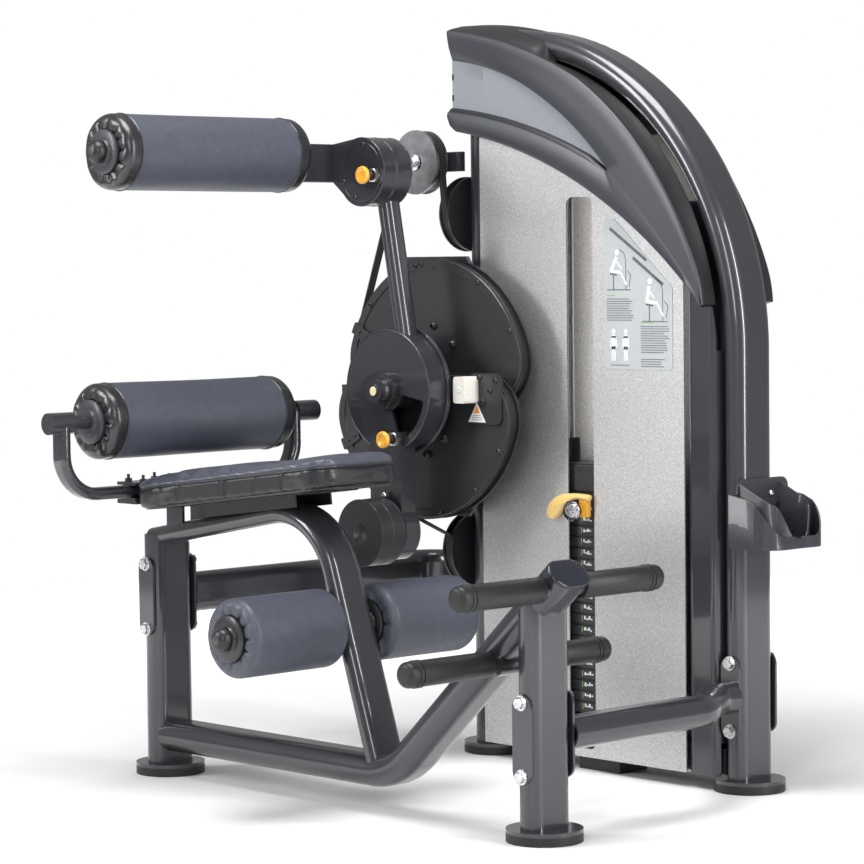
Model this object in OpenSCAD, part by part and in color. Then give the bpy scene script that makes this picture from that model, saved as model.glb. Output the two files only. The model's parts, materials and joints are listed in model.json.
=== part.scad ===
// Selectorized abdominal crunch and back extension machine.
// Frame: +X is the way the user faces, +Y points from the seat to the weight tower, +Z is up.
// The origin is on the floor, at the centre of the whole machine's footprint box.

/* [Base] */
// Centre of the rear seat post
rear_post_x = -536.5; // [-540:0.5:-533]
// Distance from the rear post to the front post
post_gap = 1055; // [1053:1:1057]
// Centre plane of the seat and its rollers
seat_y = -207.5; // [-209:0.5:-206]
// Distance from the seat's plane to the tower's plane
tower_gap = 632; // [630:1:634]
// Thickness of the posts and the arch, along X
post_t = 50; // [48:1:52]
// Width of the posts and the arch, along Y
post_w = 100; // [98:1:102]
// Wall of the frame tubes
tube_wall = 4; // [3:0.5:5]
// Diameter of the steel foot discs
foot_d = 137; // [130:1:140]

/* [Seat side] */
// Thickness of the bent base beam
beam_t = 60; // [56:1:62]
// Width of the bent base beam
beam_w = 90; // [80:1:96]
// Height of the base beam's middle
beam_z = 77; // [74:1:80]
// Slope of the beam's front leg, in degrees
beam_slope = 42.5; // [41.5:0.5:43.5]
// Diameter of the foot bars' grips
grip_d = 46; // [42:1:48]
// Half the length of a foot bar with its grips
foot_bar_half = 250; // [240:5:255]

/* [Rollers] */
// Diameter of every roller pad
roller_d = 145; // [138:1:148]
// Half the length of the chest and lumbar pads
long_pad_half = 232; // [225:1:235]
// Length of one leg pad
leg_pad_len = 230; // [220:1:235]
// Height of the chest roller's axle
chest_z = 1230; // [1225:1:1235]
// Height of the lumbar roller's axle
lumbar_z = 714; // [712:1:718]
// Height of the leg rollers' axle
leg_z = 338; // [334:1:342]

/* [Swing arm] */
// Height of the main pivot
hub_z = 757; // [755:1:759]
// Radius of the arm's hub disc
arm_disc_r = 123; // [118:1:125]
// Radius of the two cam lobes
cam_r = 266; // [262:1:267]
// Radius of the counterweight discs
counterweight_r = 67.5; // [64:0.5:68]
// Distance from the pivot to the counterweight
counterweight_arm = 283; // [282:1:288]

/* [Tower] */
// Height of the arch's straight part
arch_straight_z = 840; // [830:1:845]
// Bend radius of the arch's middle line
arch_r = 615; // [605:1:620]
// Number of weight plates
plate_count = 20; // [10:1:20]
// Thickness of one weight plate
plate_t = 22; // [21:0.5:22]

/* [Hidden] */
$fn = 64;

// Places of the posts
front_post_x = rear_post_x + post_gap;
arch_x = front_post_x - 75;
upright_x = arch_x - 689;
tower_y = seat_y + tower_gap;
plate_side = 45;
plate_thick = 5;
low_joint_z = 183;
rear_joint_z = 357;
joint_bolt_gap = 65;
bolt_r = 6;
foot_t = 6;
rubber_t = 16;
floor_gap = rubber_t;

// Seat side
beam_bend_x = front_post_x - 369;
beam_bend_r = 150;
beam_end = [front_post_x + 62, beam_z + (front_post_x + 62 - beam_bend_x) * tan(beam_slope)];
upper_peg = [front_post_x + 42, 447];
lower_peg = [front_post_x - 89, 307];
peg_bar_r = 16;
seat_tube_t = 38;
seat_tube_w = 80;
seat_tube_start = [rear_post_x - 15, 472];
seat_tube_corner = [rear_post_x + 484, 562];
seat_tube_end = [rear_post_x + 650, 70];
seat_slope = 7;
seat_rear = [rear_post_x + 100, 536];
seat_len = 500;
seat_rear_half = 165;
seat_front_half = 108;
seat_corner_r = 55;
seat_thick = 55;

// Rollers
chest_x = rear_post_x + 125;
lumbar_x = rear_post_x + 67;
leg_x = rear_post_x + 540;
leg_pad_inner = 53;
cap_t = 12;
cap_r = 42;
core_r = 22;
lumbar_stub_half = 335;
yoke_left = 303;
yoke_right = 275;
yoke_low_z = 575;

// Arm, from the seat side towards the tower
hub_x = rear_post_x + 255;
hub_y = seat_y + 367;
arm_t = 52;
arm_tube_y = seat_y + 391;
drum_x = hub_x - 34;
drum_z = hub_z + 439;
drum_r = 69;
drum_front_y = seat_y + 334;
bracket_t = 34;
drum_gap = 1;
drum_back_t = 42;
counterweight_y = seat_y + 289;
counterweight_t = 31;
start_pin_r = 103;
start_pin_a = -69;
lower_cam_y = seat_y + 462;
cam_t = 30;
upper_cam_y = lower_cam_y + cam_t + 4;
support_y = upper_cam_y + cam_t + 6;
support_t = 10;
shaft_r = 20;
cam_corner_r = 90;
cam_corner = [166, 58];
flange_t = 5;
groove_depth = 8;
belt_t = 3;
belt_w = 18;
index_y = seat_y + 424;
index_t = 12;

// Tower
panel_y = tower_y - 57;
rear_panel_y = tower_y + 77;
panel_t = 3;
panel_left = front_post_x - 738;
panel_right = front_post_x - 183;
panel_bottom = 28;
trim_right = front_post_x - 104;
slot_x = front_post_x - 458;
slot_w = 71;
slot_top = 1139;
slot_bottom = 45;
shroud_half = 90;
shroud_wall = 4;
shroud_left = upright_x - 36;
shroud_top = 1500;
arch_turn = 83;
arch_centre = [arch_x - arch_r, arch_straight_z];
arch_inner_r = arch_r - post_t / 2 - 2;
swoop_centre = [front_post_x - 923, 190];
swoop_r = 1096;
top_beam_z = 1275;
stack_x = slot_x;
stack_w = 250;
stack_d = 84;
plate_gap = 0.6;
stack_base_z = 113;
lifted_count = 2;
rod_gap = 92;
rod_r = 12.5;
stem_r = 12;
head_z = stack_base_z + plate_count * plate_t;
head_h = 58;
pin_z = head_z - (lifted_count - 0.5) * plate_t;
pin_r = 5;
pulley_bore = 10;
belt_x = upright_x - 50;
guide_belt_r = 60;
guide_x = belt_x - guide_belt_r;
guide_y = seat_y + 537;
guide_z = 1219;
side_belt_r = 72;
side_y = tower_y - 13;
side_z = 1112;
low_side_z = 420;
top_belt_r = 58;
top_x = stack_x - top_belt_r;
top_y = tower_y + 63;
top_z = 1300;
fit_gap = 0.05;
bend_swell = 0.4;

// ---- Shared shapes ----

// A flat oval: t across, w long
module oval(t, w) {
    if (w > t) square([t, w - t], center = true);
    for (s = [-1, 1]) translate([0, s * (w - t) / 2]) circle(d = t);
}

// Cylinder along Y whose low end is at p
module rod_y(p, r, len) {
    translate(p) rotate([-90, 0, 0]) cylinder(r = r, h = len);
}

// Ring along Y
module ring_y(p, r, hole_r, len) {
    translate(p) rotate([-90, 0, 0]) difference() {
        cylinder(r = r, h = len);
        translate([0, 0, -1]) cylinder(r = hole_r, h = len + 2);
    }
}

// Cylinder along X whose low end is at p
module rod_x(p, r, len) {
    translate(p) rotate([0, 90, 0]) cylinder(r = r, h = len);
}

function unit(v) = v / norm(v);
function turn(a, b) = atan2(a[0] * b[1] - a[1] * b[0], a[0] * b[0] + a[1] * b[1]);
function trim(pts, i, r) =
    (i == 0 || i == len(pts) - 1) ? 0
    : r * tan(abs(turn(pts[i] - pts[i - 1], pts[i + 1] - pts[i])) / 2);

// A flat-oval bar bent in the XZ plane through the points, with bends of radius r.
// Each bend is a little fuller than the straights and laps over their ends.
module bent_bar(pts, r, t, w) {
    for (i = [0 : len(pts) - 2]) {
        d = unit(pts[i + 1] - pts[i]);
        a = pts[i] + d * trim(pts, i, r);
        b = pts[i + 1] - d * trim(pts, i + 1, r);
        translate([a[0], 0, a[1]])
            rotate([0, atan2(d[0], d[1]), 0])
                linear_extrude(norm(b - a)) oval(t, w);
    }
    for (i = [1 : len(pts) - 2]) {
        d = unit(pts[i] - pts[i - 1]);
        ang = turn(d, pts[i + 1] - pts[i]);
        s = sign(ang);
        start = pts[i] - d * trim(pts, i, r);
        c = start + s * r * [-d[1], d[0]];
        from = atan2(start[1] - c[1], start[0] - c[0]);
        lap = 60 / r;
        translate([c[0], 0, c[1]])
            rotate([90, 0, 0])
                rotate([0, 0, (ang > 0 ? from : from + ang) - lap])
                    rotate_extrude(angle = abs(ang) + 2 * lap) translate([r, 0]) oval(t + bend_swell, w + bend_swell);
    }
}

// The same bar with a hollow inside
module bent_tube(pts, r, t, w, wall) {
    difference() {
        bent_bar(pts, r, t, w);
        bent_bar(stretch(pts), r, t - 2 * wall, w - 2 * wall);
    }
}

// The path with both ends one millimetre longer
function stretch(pts) = [
    for (i = [0 : len(pts) - 1])
        i == 0 ? pts[0] - unit(pts[1] - pts[0])
        : i == len(pts) - 1 ? pts[i] + unit(pts[i] - pts[i - 1])
        : pts[i]
];

// Upright post from the foot disc to the height top
module post_bar(x, y, top) {
    translate([x, y, floor_gap + foot_t]) linear_extrude(top - floor_gap - foot_t) oval(post_t, post_w);
}

module post_hollow(x, y, top) {
    translate([x, y, floor_gap + foot_t + 1])
        linear_extrude(top - floor_gap) oval(post_t - 2 * tube_wall, post_w - 2 * tube_wall);
}

module foot_disc(x, y) {
    translate([x, y, floor_gap]) cylinder(d = foot_d, h = foot_t + 1);
}

// Bolt holes through a post for one pair of joint plates
module joint_holes(x, y, z) {
    for (s = [-1, 1]) rod_y([x, y - post_w, z + s * joint_bolt_gap], bolt_r + fit_gap, 2 * post_w);
}

// Hex-headed bolt through a post along Y, with its nut
module joint_bolt(x, y, z) {
    reach = post_w / 2 + plate_thick;
    rod_y([x, y - reach - 1, z], bolt_r, 2 * reach + 16);
    translate([x, y - reach, z]) rotate([90, 0, 0]) {
        cylinder(r = 14, h = 2.5);
        cylinder(r = 11, h = 10, $fn = 6);
    }
    translate([x, y + reach, z]) rotate([-90, 0, 0]) difference() {
        union() {
            cylinder(r = 14, h = 2.5);
            cylinder(r = 11, h = 12, $fn = 6);
        }
        translate([0, 0, -1]) cylinder(r = bolt_r, h = 14);
    }
}

// Roller pad along Y between y0 and y1, bored for its core tube
module roller_pad(x, z, y0, y1) {
    edge = 18;
    translate([x, y0, z]) rotate([-90, 0, 0]) rotate_extrude() difference() {
        union() {
            translate([0, edge]) square([roller_d / 2, y1 - y0 - 2 * edge]);
            square([roller_d / 2 - edge, y1 - y0]);
            for (yy = [edge, y1 - y0 - edge]) translate([roller_d / 2 - edge, yy]) circle(r = edge);
        }
        translate([0, -1]) square([core_r, y1 - y0 + 2]);
    }
}

// Plastic end caps of a roller, joined by the core tube that turns on the axle
module roller_caps(x, z, y0, y1, axle_r) {
    for (side = [[y0 - cap_t, 1], [y1, 1]])
        ring_y([x, side[0], z], cap_r, axle_r + fit_gap, cap_t);
    ring_y([x, y0 - 1, z], core_r, axle_r + fit_gap, y1 - y0 + 2);
}

// ---- Base ----

beam_path = [[rear_post_x + post_t / 2 - 6, beam_z], [beam_bend_x, beam_z], beam_end];
seat_tube_path = [seat_tube_start, seat_tube_corner, seat_tube_end];

module beam_envelope() {
    translate([0, seat_y, 0]) bent_bar(beam_path, beam_bend_r, beam_t, beam_w);
}

module seat_tube_envelope() {
    translate([0, seat_y, 0]) bent_bar(seat_tube_path, beam_bend_r, seat_tube_t, seat_tube_w);
}

module rear_post() {
    color("dimgray") difference() {
        union() {
            post_bar(rear_post_x, seat_y, 505);
            foot_disc(rear_post_x, seat_y);
        }
        post_hollow(rear_post_x, seat_y, 505);
        seat_tube_envelope();
        joint_holes(rear_post_x, seat_y, rear_joint_z);
        translate([rear_post_x - 60, seat_y - 60, 480]) cube([120, 120, 60]);
    }
}

module front_post() {
    color("dimgray") difference() {
        union() {
            post_bar(front_post_x, seat_y, 470);
            foot_disc(front_post_x, seat_y);
        }
        post_hollow(front_post_x, seat_y, 470);
        beam_envelope();
        joint_holes(front_post_x, seat_y, low_joint_z);
        beam_top_cut();
    }
}

// Everything above the beam's front leg
module beam_top_cut() {
    translate([beam_end[0], seat_y, beam_end[1]])
        rotate([0, -beam_slope, 0])
            translate([-300, -80, 0]) cube([400, 160, 200]);
}

module base_beam() {
    color("dimgray") difference() {
        union() {
            translate([0, seat_y, 0]) bent_tube(beam_path, beam_bend_r, beam_t, beam_w, tube_wall);
            rod_y([lower_peg[0], seat_y - 34, lower_peg[1]], peg_bar_r + 8, 68);
        }
        post_bar(rear_post_x, seat_y, 400);
        for (p = [upper_peg, lower_peg]) rod_y([p[0], seat_y - 100, p[1]], peg_bar_r, 200);
    }
}

module beam_end_cap() {
    cap_len = 5;
    color("black") translate([beam_end[0], seat_y, beam_end[1]])
        rotate([0, 90 - beam_slope, 0]) {
            linear_extrude(cap_len) oval(beam_t, beam_w);
            translate([0, 0, -10]) linear_extrude(11) oval(beam_t - 2 * tube_wall, beam_w - 2 * tube_wall);
        }
}

module seat_tube() {
    color("dimgray") difference() {
        union() {
            translate([0, seat_y, 0]) bent_tube(seat_tube_path, beam_bend_r, seat_tube_t, seat_tube_w, 3);
            rod_y([leg_x, seat_y - 34, leg_z], 25, 68);
        }
        beam_envelope();
        rod_y([leg_x, seat_y - 60, leg_z], 16, 120);
    }
}

module front_cross_tube() {
    start_y = seat_y + post_w / 2 + plate_thick;
    end_y = tower_y - post_w / 2 - plate_thick;
    path = [[front_post_x, start_y], [front_post_x, end_y - 160],
            [arch_x, end_y - 45], [arch_x, end_y]];
    color("dimgray") translate([0, 0, low_joint_z]) rotate([-90, 0, 0])
        bent_tube(path, 70, 62, 62, tube_wall);
}

module rear_cross_tube() {
    start_y = seat_y + post_w / 2 + plate_thick;
    rear_y = tower_y + 93;
    path = [[rear_post_x, start_y], [rear_post_x, rear_y], [upright_x + 22, rear_y]];
    color("dimgray") translate([0, 0, rear_joint_z]) rotate([-90, 0, 0])
        bent_tube(path, 70, 50, 80, tube_wall);
}

// Pair of plates on the two sides of a post
module plate_pair(x, y, z) {
    for (s = [-1, 1])
        translate([x, y + s * (post_w + plate_thick) / 2, z]) rotate([90, 0, 0]) difference() {
            translate([0, 0, -plate_thick / 2]) linear_extrude(plate_thick)
                oval(plate_side, 4 * (joint_bolt_gap - 26));
            for (b = [-1, 1]) translate([0, b * joint_bolt_gap, -plate_thick])
                cylinder(r = bolt_r + fit_gap, h = 2 * plate_thick);
        }
}

module joint_plates() {
    color("dimgray") {
        plate_pair(rear_post_x, seat_y, rear_joint_z);
        plate_pair(front_post_x, seat_y, low_joint_z);
        plate_pair(arch_x, tower_y, low_joint_z);
        translate([upright_x - 34, tower_y + post_w / 2, rear_joint_z - 50]) cube([56, 18, 100]);
    }
}

module frame_bolts() {
    color("silver") for (s = [-1, 1]) {
        joint_bolt(rear_post_x, seat_y, rear_joint_z + s * joint_bolt_gap);
        joint_bolt(front_post_x, seat_y, low_joint_z + s * joint_bolt_gap);
        joint_bolt(arch_x, tower_y, low_joint_z + s * joint_bolt_gap);
    }
}

module rubber_foot(x, y) {
    translate([x, y, 0]) {
        cylinder(d = foot_d - 3, h = 8);
        cylinder(d = foot_d, h = rubber_t);
    }
}

module rubber_feet() {
    color("black") {
        rubber_foot(rear_post_x, seat_y);
        rubber_foot(front_post_x, seat_y);
        rubber_foot(upright_x, tower_y);
        rubber_foot(arch_x, tower_y);
        translate([slot_x - 30, tower_y - 40, 0]) cube([110, 80, 30]);
    }
}

module foot_bars() {
    color("dimgray") for (p = [upper_peg, lower_peg])
        rod_y([p[0], seat_y - foot_bar_half + 14, p[1]], peg_bar_r, 2 * foot_bar_half - 28);
}

// One rubber grip with a domed end; the bar's end sits in it
module foot_grip(p, side) {
    inner = beam_w / 2 + 4;
    len = foot_bar_half - inner;
    translate([p[0], seat_y + side * inner, p[1]]) rotate([-90 * side, 0, 0]) difference() {
        union() {
            cylinder(d = grip_d, h = len - 20);
            translate([0, 0, len - 36]) cylinder(d = grip_d + 3, h = 5);
            translate([0, 0, len - 27]) cylinder(d = grip_d + 3, h = 5);
            translate([0, 0, len - grip_d / 2]) sphere(d = grip_d);
        }
        translate([0, 0, -1]) cylinder(r = peg_bar_r, h = len - 14 + 1);
    }
}

module foot_bar_grips() {
    color("black") for (p = [upper_peg, lower_peg], s = [-1, 1]) foot_grip(p, s);
}

// ---- Seat and lumbar support ----

// Points of a rounded corner from angle a0 to a1
function corner(p, r, a0, a1) = [for (i = [0 : 8]) let (a = a0 + (a1 - a0) * i / 8) p + r * [cos(a), sin(a)]];

// Seat outline seen from above: x runs forwards from the rear edge
module seat_outline(shrink) {
    r = seat_corner_r - shrink;
    x0 = seat_corner_r;
    x1 = seat_len - seat_corner_r;
    y0 = seat_rear_half - seat_corner_r;
    y1 = seat_front_half - seat_corner_r;
    a = atan2(y0 - y1, x1 - x0);
    polygon(concat(
        corner([x1, y1], r, 0, 90 - a), corner([x0, y0], r, 90 - a, 180),
        corner([x0, -y0], r, 180, 270 + a), corner([x1, -y1], r, 270 + a, 360)
    ));
}

module on_seat() {
    translate([seat_rear[0], seat_y, seat_rear[1]]) rotate([0, -seat_slope, 0]) children();
}

module seat_pad() {
    color("slategray") on_seat() translate([0, 0, 4]) {
        linear_extrude(seat_thick - 10) seat_outline(0);
        translate([0, 0, seat_thick - 10.5]) linear_extrude(10.5) seat_outline(12);
    }
}

module seat_plate() {
    plate_len = 330;
    color("silver") difference() {
        on_seat() {
            translate([70, -70, 0.5]) cube([plate_len, 140, 3]);
            for (s = [-1, 1]) translate([80, s * 44 - 2, -22]) cube([plate_len - 60, 4, 23]);
        }
        seat_tube_envelope();
    }
}

yoke_path = [[-yoke_left, lumbar_z], [-yoke_left, yoke_low_z], [yoke_right, yoke_low_z],
             [yoke_right, lumbar_z]];

module yoke_bar() {
    translate([lumbar_x, seat_y, 0]) rotate([0, 0, 90]) bent_bar(yoke_path, 78, 24, 40);
}

module lumbar_yoke() {
    color("dimgray") {
        difference() {
            yoke_bar();
            rod_y([lumbar_x, seat_y - 400, lumbar_z], 19, 800);
        }
        for (s = [-1, 1]) {
            y0 = s > 0 ? seat_y + lumbar_stub_half - 56 : seat_y - lumbar_stub_half;
            rod_y([lumbar_x, y0, lumbar_z], 21, 56);
        }
        rod_y([lumbar_x, seat_y - lumbar_stub_half + 2, lumbar_z], 14, 2 * lumbar_stub_half - 4);
    }
}

module yoke_clamps() {
    pad_len = 110;
    color("dimgray") difference() {
        union() {
            for (s = [-1, 1]) {
                translate([lumbar_x - 30, seat_y + s * 95 - pad_len / 2, yoke_low_z + 12])
                    cube([57, pad_len, 6]);
                translate([lumbar_x - 30, seat_y + s * 95 - pad_len / 2, yoke_low_z - 18])
                    cube([57, pad_len, 6]);
            }
            translate([lumbar_x - 30, seat_y - 150, yoke_low_z - 24]) cube([60, 300, 6.5]);
            for (s = [-1, 1]) translate([lumbar_x - 25, seat_y + s * 30 - 3, 480])
                cube([50, 6, yoke_low_z - 24 - 480 + 1]);
        }
        seat_tube_envelope();
        yoke_bar();
    }
    color("silver") for (s = [-1, 1], b = [-1, 1], c = [-1, 1])
        translate([lumbar_x + c * 23.5, seat_y + s * 95 + b * 32, yoke_low_z + 18]) {
            cylinder(r = 7, h = 6, $fn = 6);
            translate([0, 0, -44]) cylinder(r = 3, h = 58);
        }
}

module lumbar_pad() {
    color("slategray")
        roller_pad(lumbar_x, lumbar_z, seat_y - long_pad_half, seat_y + long_pad_half);
}

module lumbar_caps() {
    color("black")
        roller_caps(lumbar_x, lumbar_z, seat_y - long_pad_half, seat_y + long_pad_half, 14);
}

// ---- Leg rollers ----

leg_axle_r = 14;

module leg_axle() {
    reach = leg_pad_inner + leg_pad_len + cap_t + 1;
    color("dimgray") {
        rod_y([leg_x, seat_y - reach, leg_z], leg_axle_r, 2 * reach);
        rod_y([leg_x, seat_y - leg_pad_inner + cap_t + 1, leg_z], 16, 2 * (leg_pad_inner - cap_t - 1));
        rod_y([leg_x, seat_y - reach - 14, leg_z], 20, 14);
        rod_y([leg_x, seat_y + reach, leg_z], 20, 14);
    }
}

module left_leg_pad() {
    color("slategray") roller_pad(leg_x, leg_z, seat_y - leg_pad_inner - leg_pad_len, seat_y - leg_pad_inner);
}

module left_leg_caps() {
    color("black") roller_caps(leg_x, leg_z, seat_y - leg_pad_inner - leg_pad_len,
                               seat_y - leg_pad_inner, leg_axle_r);
}

module right_leg_pad() {
    color("slategray") roller_pad(leg_x, leg_z, seat_y + leg_pad_inner, seat_y + leg_pad_inner + leg_pad_len);
}

module right_leg_caps() {
    color("black") roller_caps(leg_x, leg_z, seat_y + leg_pad_inner,
                               seat_y + leg_pad_inner + leg_pad_len, leg_axle_r);
}

// ---- Tower ----

arch_corner = [arch_x, arch_straight_z + arch_r * tan(arch_turn / 2)];
arch_run = (arch_x - upright_x - post_t / 2) / sin(arch_turn);
arch_path = [[arch_x, floor_gap + foot_t], arch_corner,
             arch_corner + arch_run * [-sin(arch_turn), cos(arch_turn)]];

module arch_envelope(extra) {
    translate([0, tower_y, 0]) bent_bar(arch_path, arch_r, post_t + 2 * extra, post_w + 2 * extra);
}

module left_upright() {
    color("dimgray") difference() {
        union() {
            post_bar(upright_x, tower_y, 1440);
            foot_disc(upright_x, tower_y);
        }
        post_hollow(upright_x, tower_y, 1440 - 10);
        arch_envelope(0);
        rod_x([upright_x - 50, side_y, side_z], pulley_bore, 50);
        rod_x([upright_x - 50, side_y, low_side_z], pulley_bore, 50);
    }
}

module top_beam(gap) {
    beam_x = upright_x + post_t / 2;
    translate([beam_x, tower_y - 25 - gap, top_beam_z - 20 - gap])
        cube([arch_x - 175 - beam_x, 50 + 2 * gap, 40 + 2 * gap]);
}

module arch_tube() {
    color("dimgray") {
        difference() {
            union() {
                translate([0, tower_y, 0]) bent_tube(arch_path, arch_r, post_t, post_w, tube_wall);
                foot_disc(arch_x, tower_y);
            }
            joint_holes(arch_x, tower_y, low_joint_z);
        }
        difference() {
            top_beam(0);
            arch_envelope(0);
            for (s = [-1, 1]) translate([stack_x + s * rod_gap, tower_y, top_beam_z - 60])
                cylinder(r = rod_r, h = 60);
        }
    }
}

// Rounded rectangle from corner a to corner b
module rounded(a, b, r) {
    translate(a + [r, 0]) square([b[0] - a[0] - 2 * r, b[1] - a[1]]);
    translate(a + [0, r]) square([b[0] - a[0], b[1] - a[1] - 2 * r]);
    for (x = [a[0] + r, b[0] - r], y = [a[1] + r, b[1] - r]) translate([x, y]) circle(r = r);
}

// Extrudes a shape drawn in the XZ plane from y0 over the depth
module slab(y0, depth) {
    translate([0, y0 + depth, 0]) rotate([90, 0, 0]) linear_extrude(depth) children();
}

// Region under the arch, where panels and trim may stand
module under_arch(gap) {
    translate([-700, 0]) square([1400, arch_straight_z]);
    intersection() {
        translate(arch_centre) circle(r = arch_inner_r - gap, $fn = 128);
        translate([-700, arch_straight_z - 1]) square([1400, 700]);
    }
}

module side_trim() {
    wall = 3;
    low = [panel_right + 0.5, panel_y];
    high = [trim_right, rear_panel_y];
    color("dimgray") intersection() {
        difference() {
            translate([0, 0, panel_bottom]) linear_extrude(1150) difference() {
                rounded(low, high, 18);
                rounded(low + [wall, wall], high - [wall, wall], 15);
            }
            translate([upright_x, tower_y - 46, 20]) cube([700, 92, 70]);
        }
        slab(tower_y - 100, 200) under_arch(6);
    }
}

module tower_base() {
    x0 = upright_x + post_t / 2;
    x1 = arch_x - post_t / 2;
    color("dimgray") difference() {
        translate([x0, tower_y - 40, 30]) cube([x1 - x0, 80, 50]);
        translate([x0 - 1, tower_y - 36, 34]) cube([x1 - x0 + 2, 72, 42]);
    }
}

module panel_outline() {
    intersection() {
        translate([panel_left, panel_bottom]) square([panel_right - panel_left, 1300 - panel_bottom]);
        under_arch(8);
        translate([-700, 0]) square([1400, 1265]);
    }
}

module front_panel() {
    color("silver") slab(panel_y - panel_t, panel_t) difference() {
        panel_outline();
        rounded([slot_x - slot_w / 2, slot_bottom], [slot_x + slot_w / 2, slot_top], 16);
    }
}

module rear_panel() {
    color("silver") slab(rear_panel_y + 0.5, panel_t) panel_outline();
}

// Side view of the shroud, drawn in by the inset
module shroud_outline(inset) {
    x0 = shroud_left + inset;
    cover_x = front_post_x - 560 - inset;
    difference() {
        union() {
            intersection() {
                translate(arch_centre) circle(r = arch_inner_r - inset, $fn = 128);
                translate([x0, 880]) square([1000, 700]);
            }
            polygon([
                [x0, 1200], [x0, shroud_top - 6 - inset], [x0 + 8, shroud_top - inset],
                [front_post_x - 690, shroud_top - 1 - inset], [cover_x, 1481 - inset], [cover_x, 1200]
            ]);
        }
        translate(swoop_centre) circle(r = swoop_r + inset, $fn = 128);
        translate([x0 - 1, 1150]) square([20 - inset, 150]);
    }
}

// Half of the shroud, open below from its joint out to the reach
module shroud_half_shell(reach) {
    difference() {
        slab(tower_y - shroud_half, shroud_half - 0.25) shroud_outline(0);
        slab(tower_y - shroud_half + shroud_wall, shroud_half) shroud_outline(shroud_wall);
        slab(tower_y - reach, reach + 18) difference() {
            translate(swoop_centre) circle(r = swoop_r + shroud_wall + 2, $fn = 128);
            translate([shroud_left - 5, 1315]) square([20, 200]);
        }
        arch_envelope(1);
        top_beam(1);
    }
}

module front_shroud() {
    color("darkslategray") shroud_half_shell(tower_y - panel_y + 5);
}

module rear_shroud() {
    color("darkslategray") translate([0, 2 * tower_y, 0]) mirror([0, 1, 0])
        shroud_half_shell(rear_panel_y - tower_y + 6);
}

// ---- Weight stack ----

module guide_rods() {
    color("silver") for (s = [-1, 1])
        translate([stack_x + s * rod_gap, tower_y, 80]) cylinder(r = rod_r, h = top_beam_z - 80);
}

module stack_bumpers() {
    color("black") for (s = [-1, 1]) translate([stack_x + s * rod_gap, tower_y, 80]) difference() {
        cylinder(r = 30, h = stack_base_z - 80);
        translate([0, 0, -1]) cylinder(r = rod_r + fit_gap, h = 60);
    }
}

// One weight plate whose underside is at z
module weight_plate(z, stem_hole, pin_hole) {
    difference() {
        translate([stack_x - stack_w / 2, tower_y - stack_d / 2, z])
            cube([stack_w, stack_d, plate_t - plate_gap]);
        for (s = [-1, 1]) translate([stack_x + s * rod_gap, tower_y, z - 1]) cylinder(r = rod_r + 2, h = plate_t + 2);
        translate([stack_x, tower_y, z - 1]) cylinder(r = stem_hole, h = plate_t + 2);
        rod_y([stack_x, tower_y - stack_d, z + plate_t / 2], pin_hole, stack_d);
    }
}

module weight_plates() {
    color("black") for (i = [0 : plate_count - lifted_count - 1])
        weight_plate(stack_base_z + i * plate_t, stem_r + 1.5, pin_r + 1);
}

module lifted_plates() {
    color("black") for (i = [plate_count - lifted_count : plate_count - 1])
        weight_plate(stack_base_z + i * plate_t, stem_r + 1.5,
                     i == plate_count - lifted_count ? pin_r + fit_gap : pin_r + 1);
}

module stack_head() {
    lug_y = top_y - tower_y;
    color("black") difference() {
        union() {
            translate([stack_x - stack_w / 2, tower_y - stack_d / 2, head_z]) cube([stack_w, stack_d, head_h]);
            for (s = [-1, 1]) translate([stack_x + s * rod_gap, tower_y, head_z + head_h - 1])
                cylinder(r = 24, h = 48);
            translate([stack_x - 20, tower_y, head_z + 10]) cube([40, lug_y + 6, 40]);
            translate([stack_x, tower_y, stack_base_z + 4]) cylinder(r = stem_r, h = head_z - stack_base_z);
        }
        for (s = [-1, 1]) translate([stack_x + s * rod_gap, tower_y, head_z - 1])
            cylinder(r = rod_r + 2, h = head_h + 60);
        for (i = [0 : plate_count - 1])
            rod_y([stack_x, tower_y - stem_r - 1, stack_base_z + (i + 0.5) * plate_t], pin_r + fit_gap, stem_r + 1);
    }
}

// Selector pin with its clear knob and the thumb lever over it
module selector_pin() {
    front = tower_y - stack_d / 2;
    color("silver") rod_y([stack_x, front - 34, pin_z], pin_r, 34 + stack_d / 2);
    color("lightgray") {
        rod_y([stack_x, front - 50, pin_z], 22, 9);
        rod_y([stack_x, front - 42, pin_z], 13, 20);
    }
    color("gold") translate([stack_x, 0, pin_z]) slab(front - 33, 10) {
        intersection() {
            difference() {
                circle(r = 35);
                circle(r = 25);
            }
            translate([-36, 0]) square([72, 36]);
        }
        difference() {
            union() {
                translate([-52, -4]) square([52, 39]);
                translate([-52, 12]) circle(r = 23);
                translate([-62, -6]) circle(r = 17);
            }
            circle(r = 25);
            translate([-26, -30]) square([60, 30]);
        }
        difference() {
            circle(r = 14);
            circle(r = 5 + fit_gap);
        }
        translate([-5, 12]) square([10, 16]);
    }
}

// ---- Cup holder and placard ----

module cup_holder() {
    holder_r = 68;
    x0 = arch_x + post_t / 2 + 1;
    z0 = 468;
    color("black") translate([x0, tower_y, z0]) difference() {
        union() {
            translate([0, -86, 0]) cube([66, 172, 130]);
            translate([66, -46, 0]) cylinder(r = 38, h = 130);
            translate([66, 46, 0]) cylinder(r = 38, h = 130);
            translate([60, -84, 0]) cube([6, 168, 130]);
        }
        translate([5, -80, 6]) cube([58, 70, 140]);
        translate([62, -46, 6]) cylinder(r = 34, h = 140);
        translate([5, -5, 6]) cube([58, 85, 140]);
        translate([62, 46, 6]) cylinder(r = 34, h = 140);
        translate([66, -100, 118]) rotate([0, 52, 0]) translate([-70, 0, 0]) cube([240, 200, 160]);
    }
}

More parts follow.
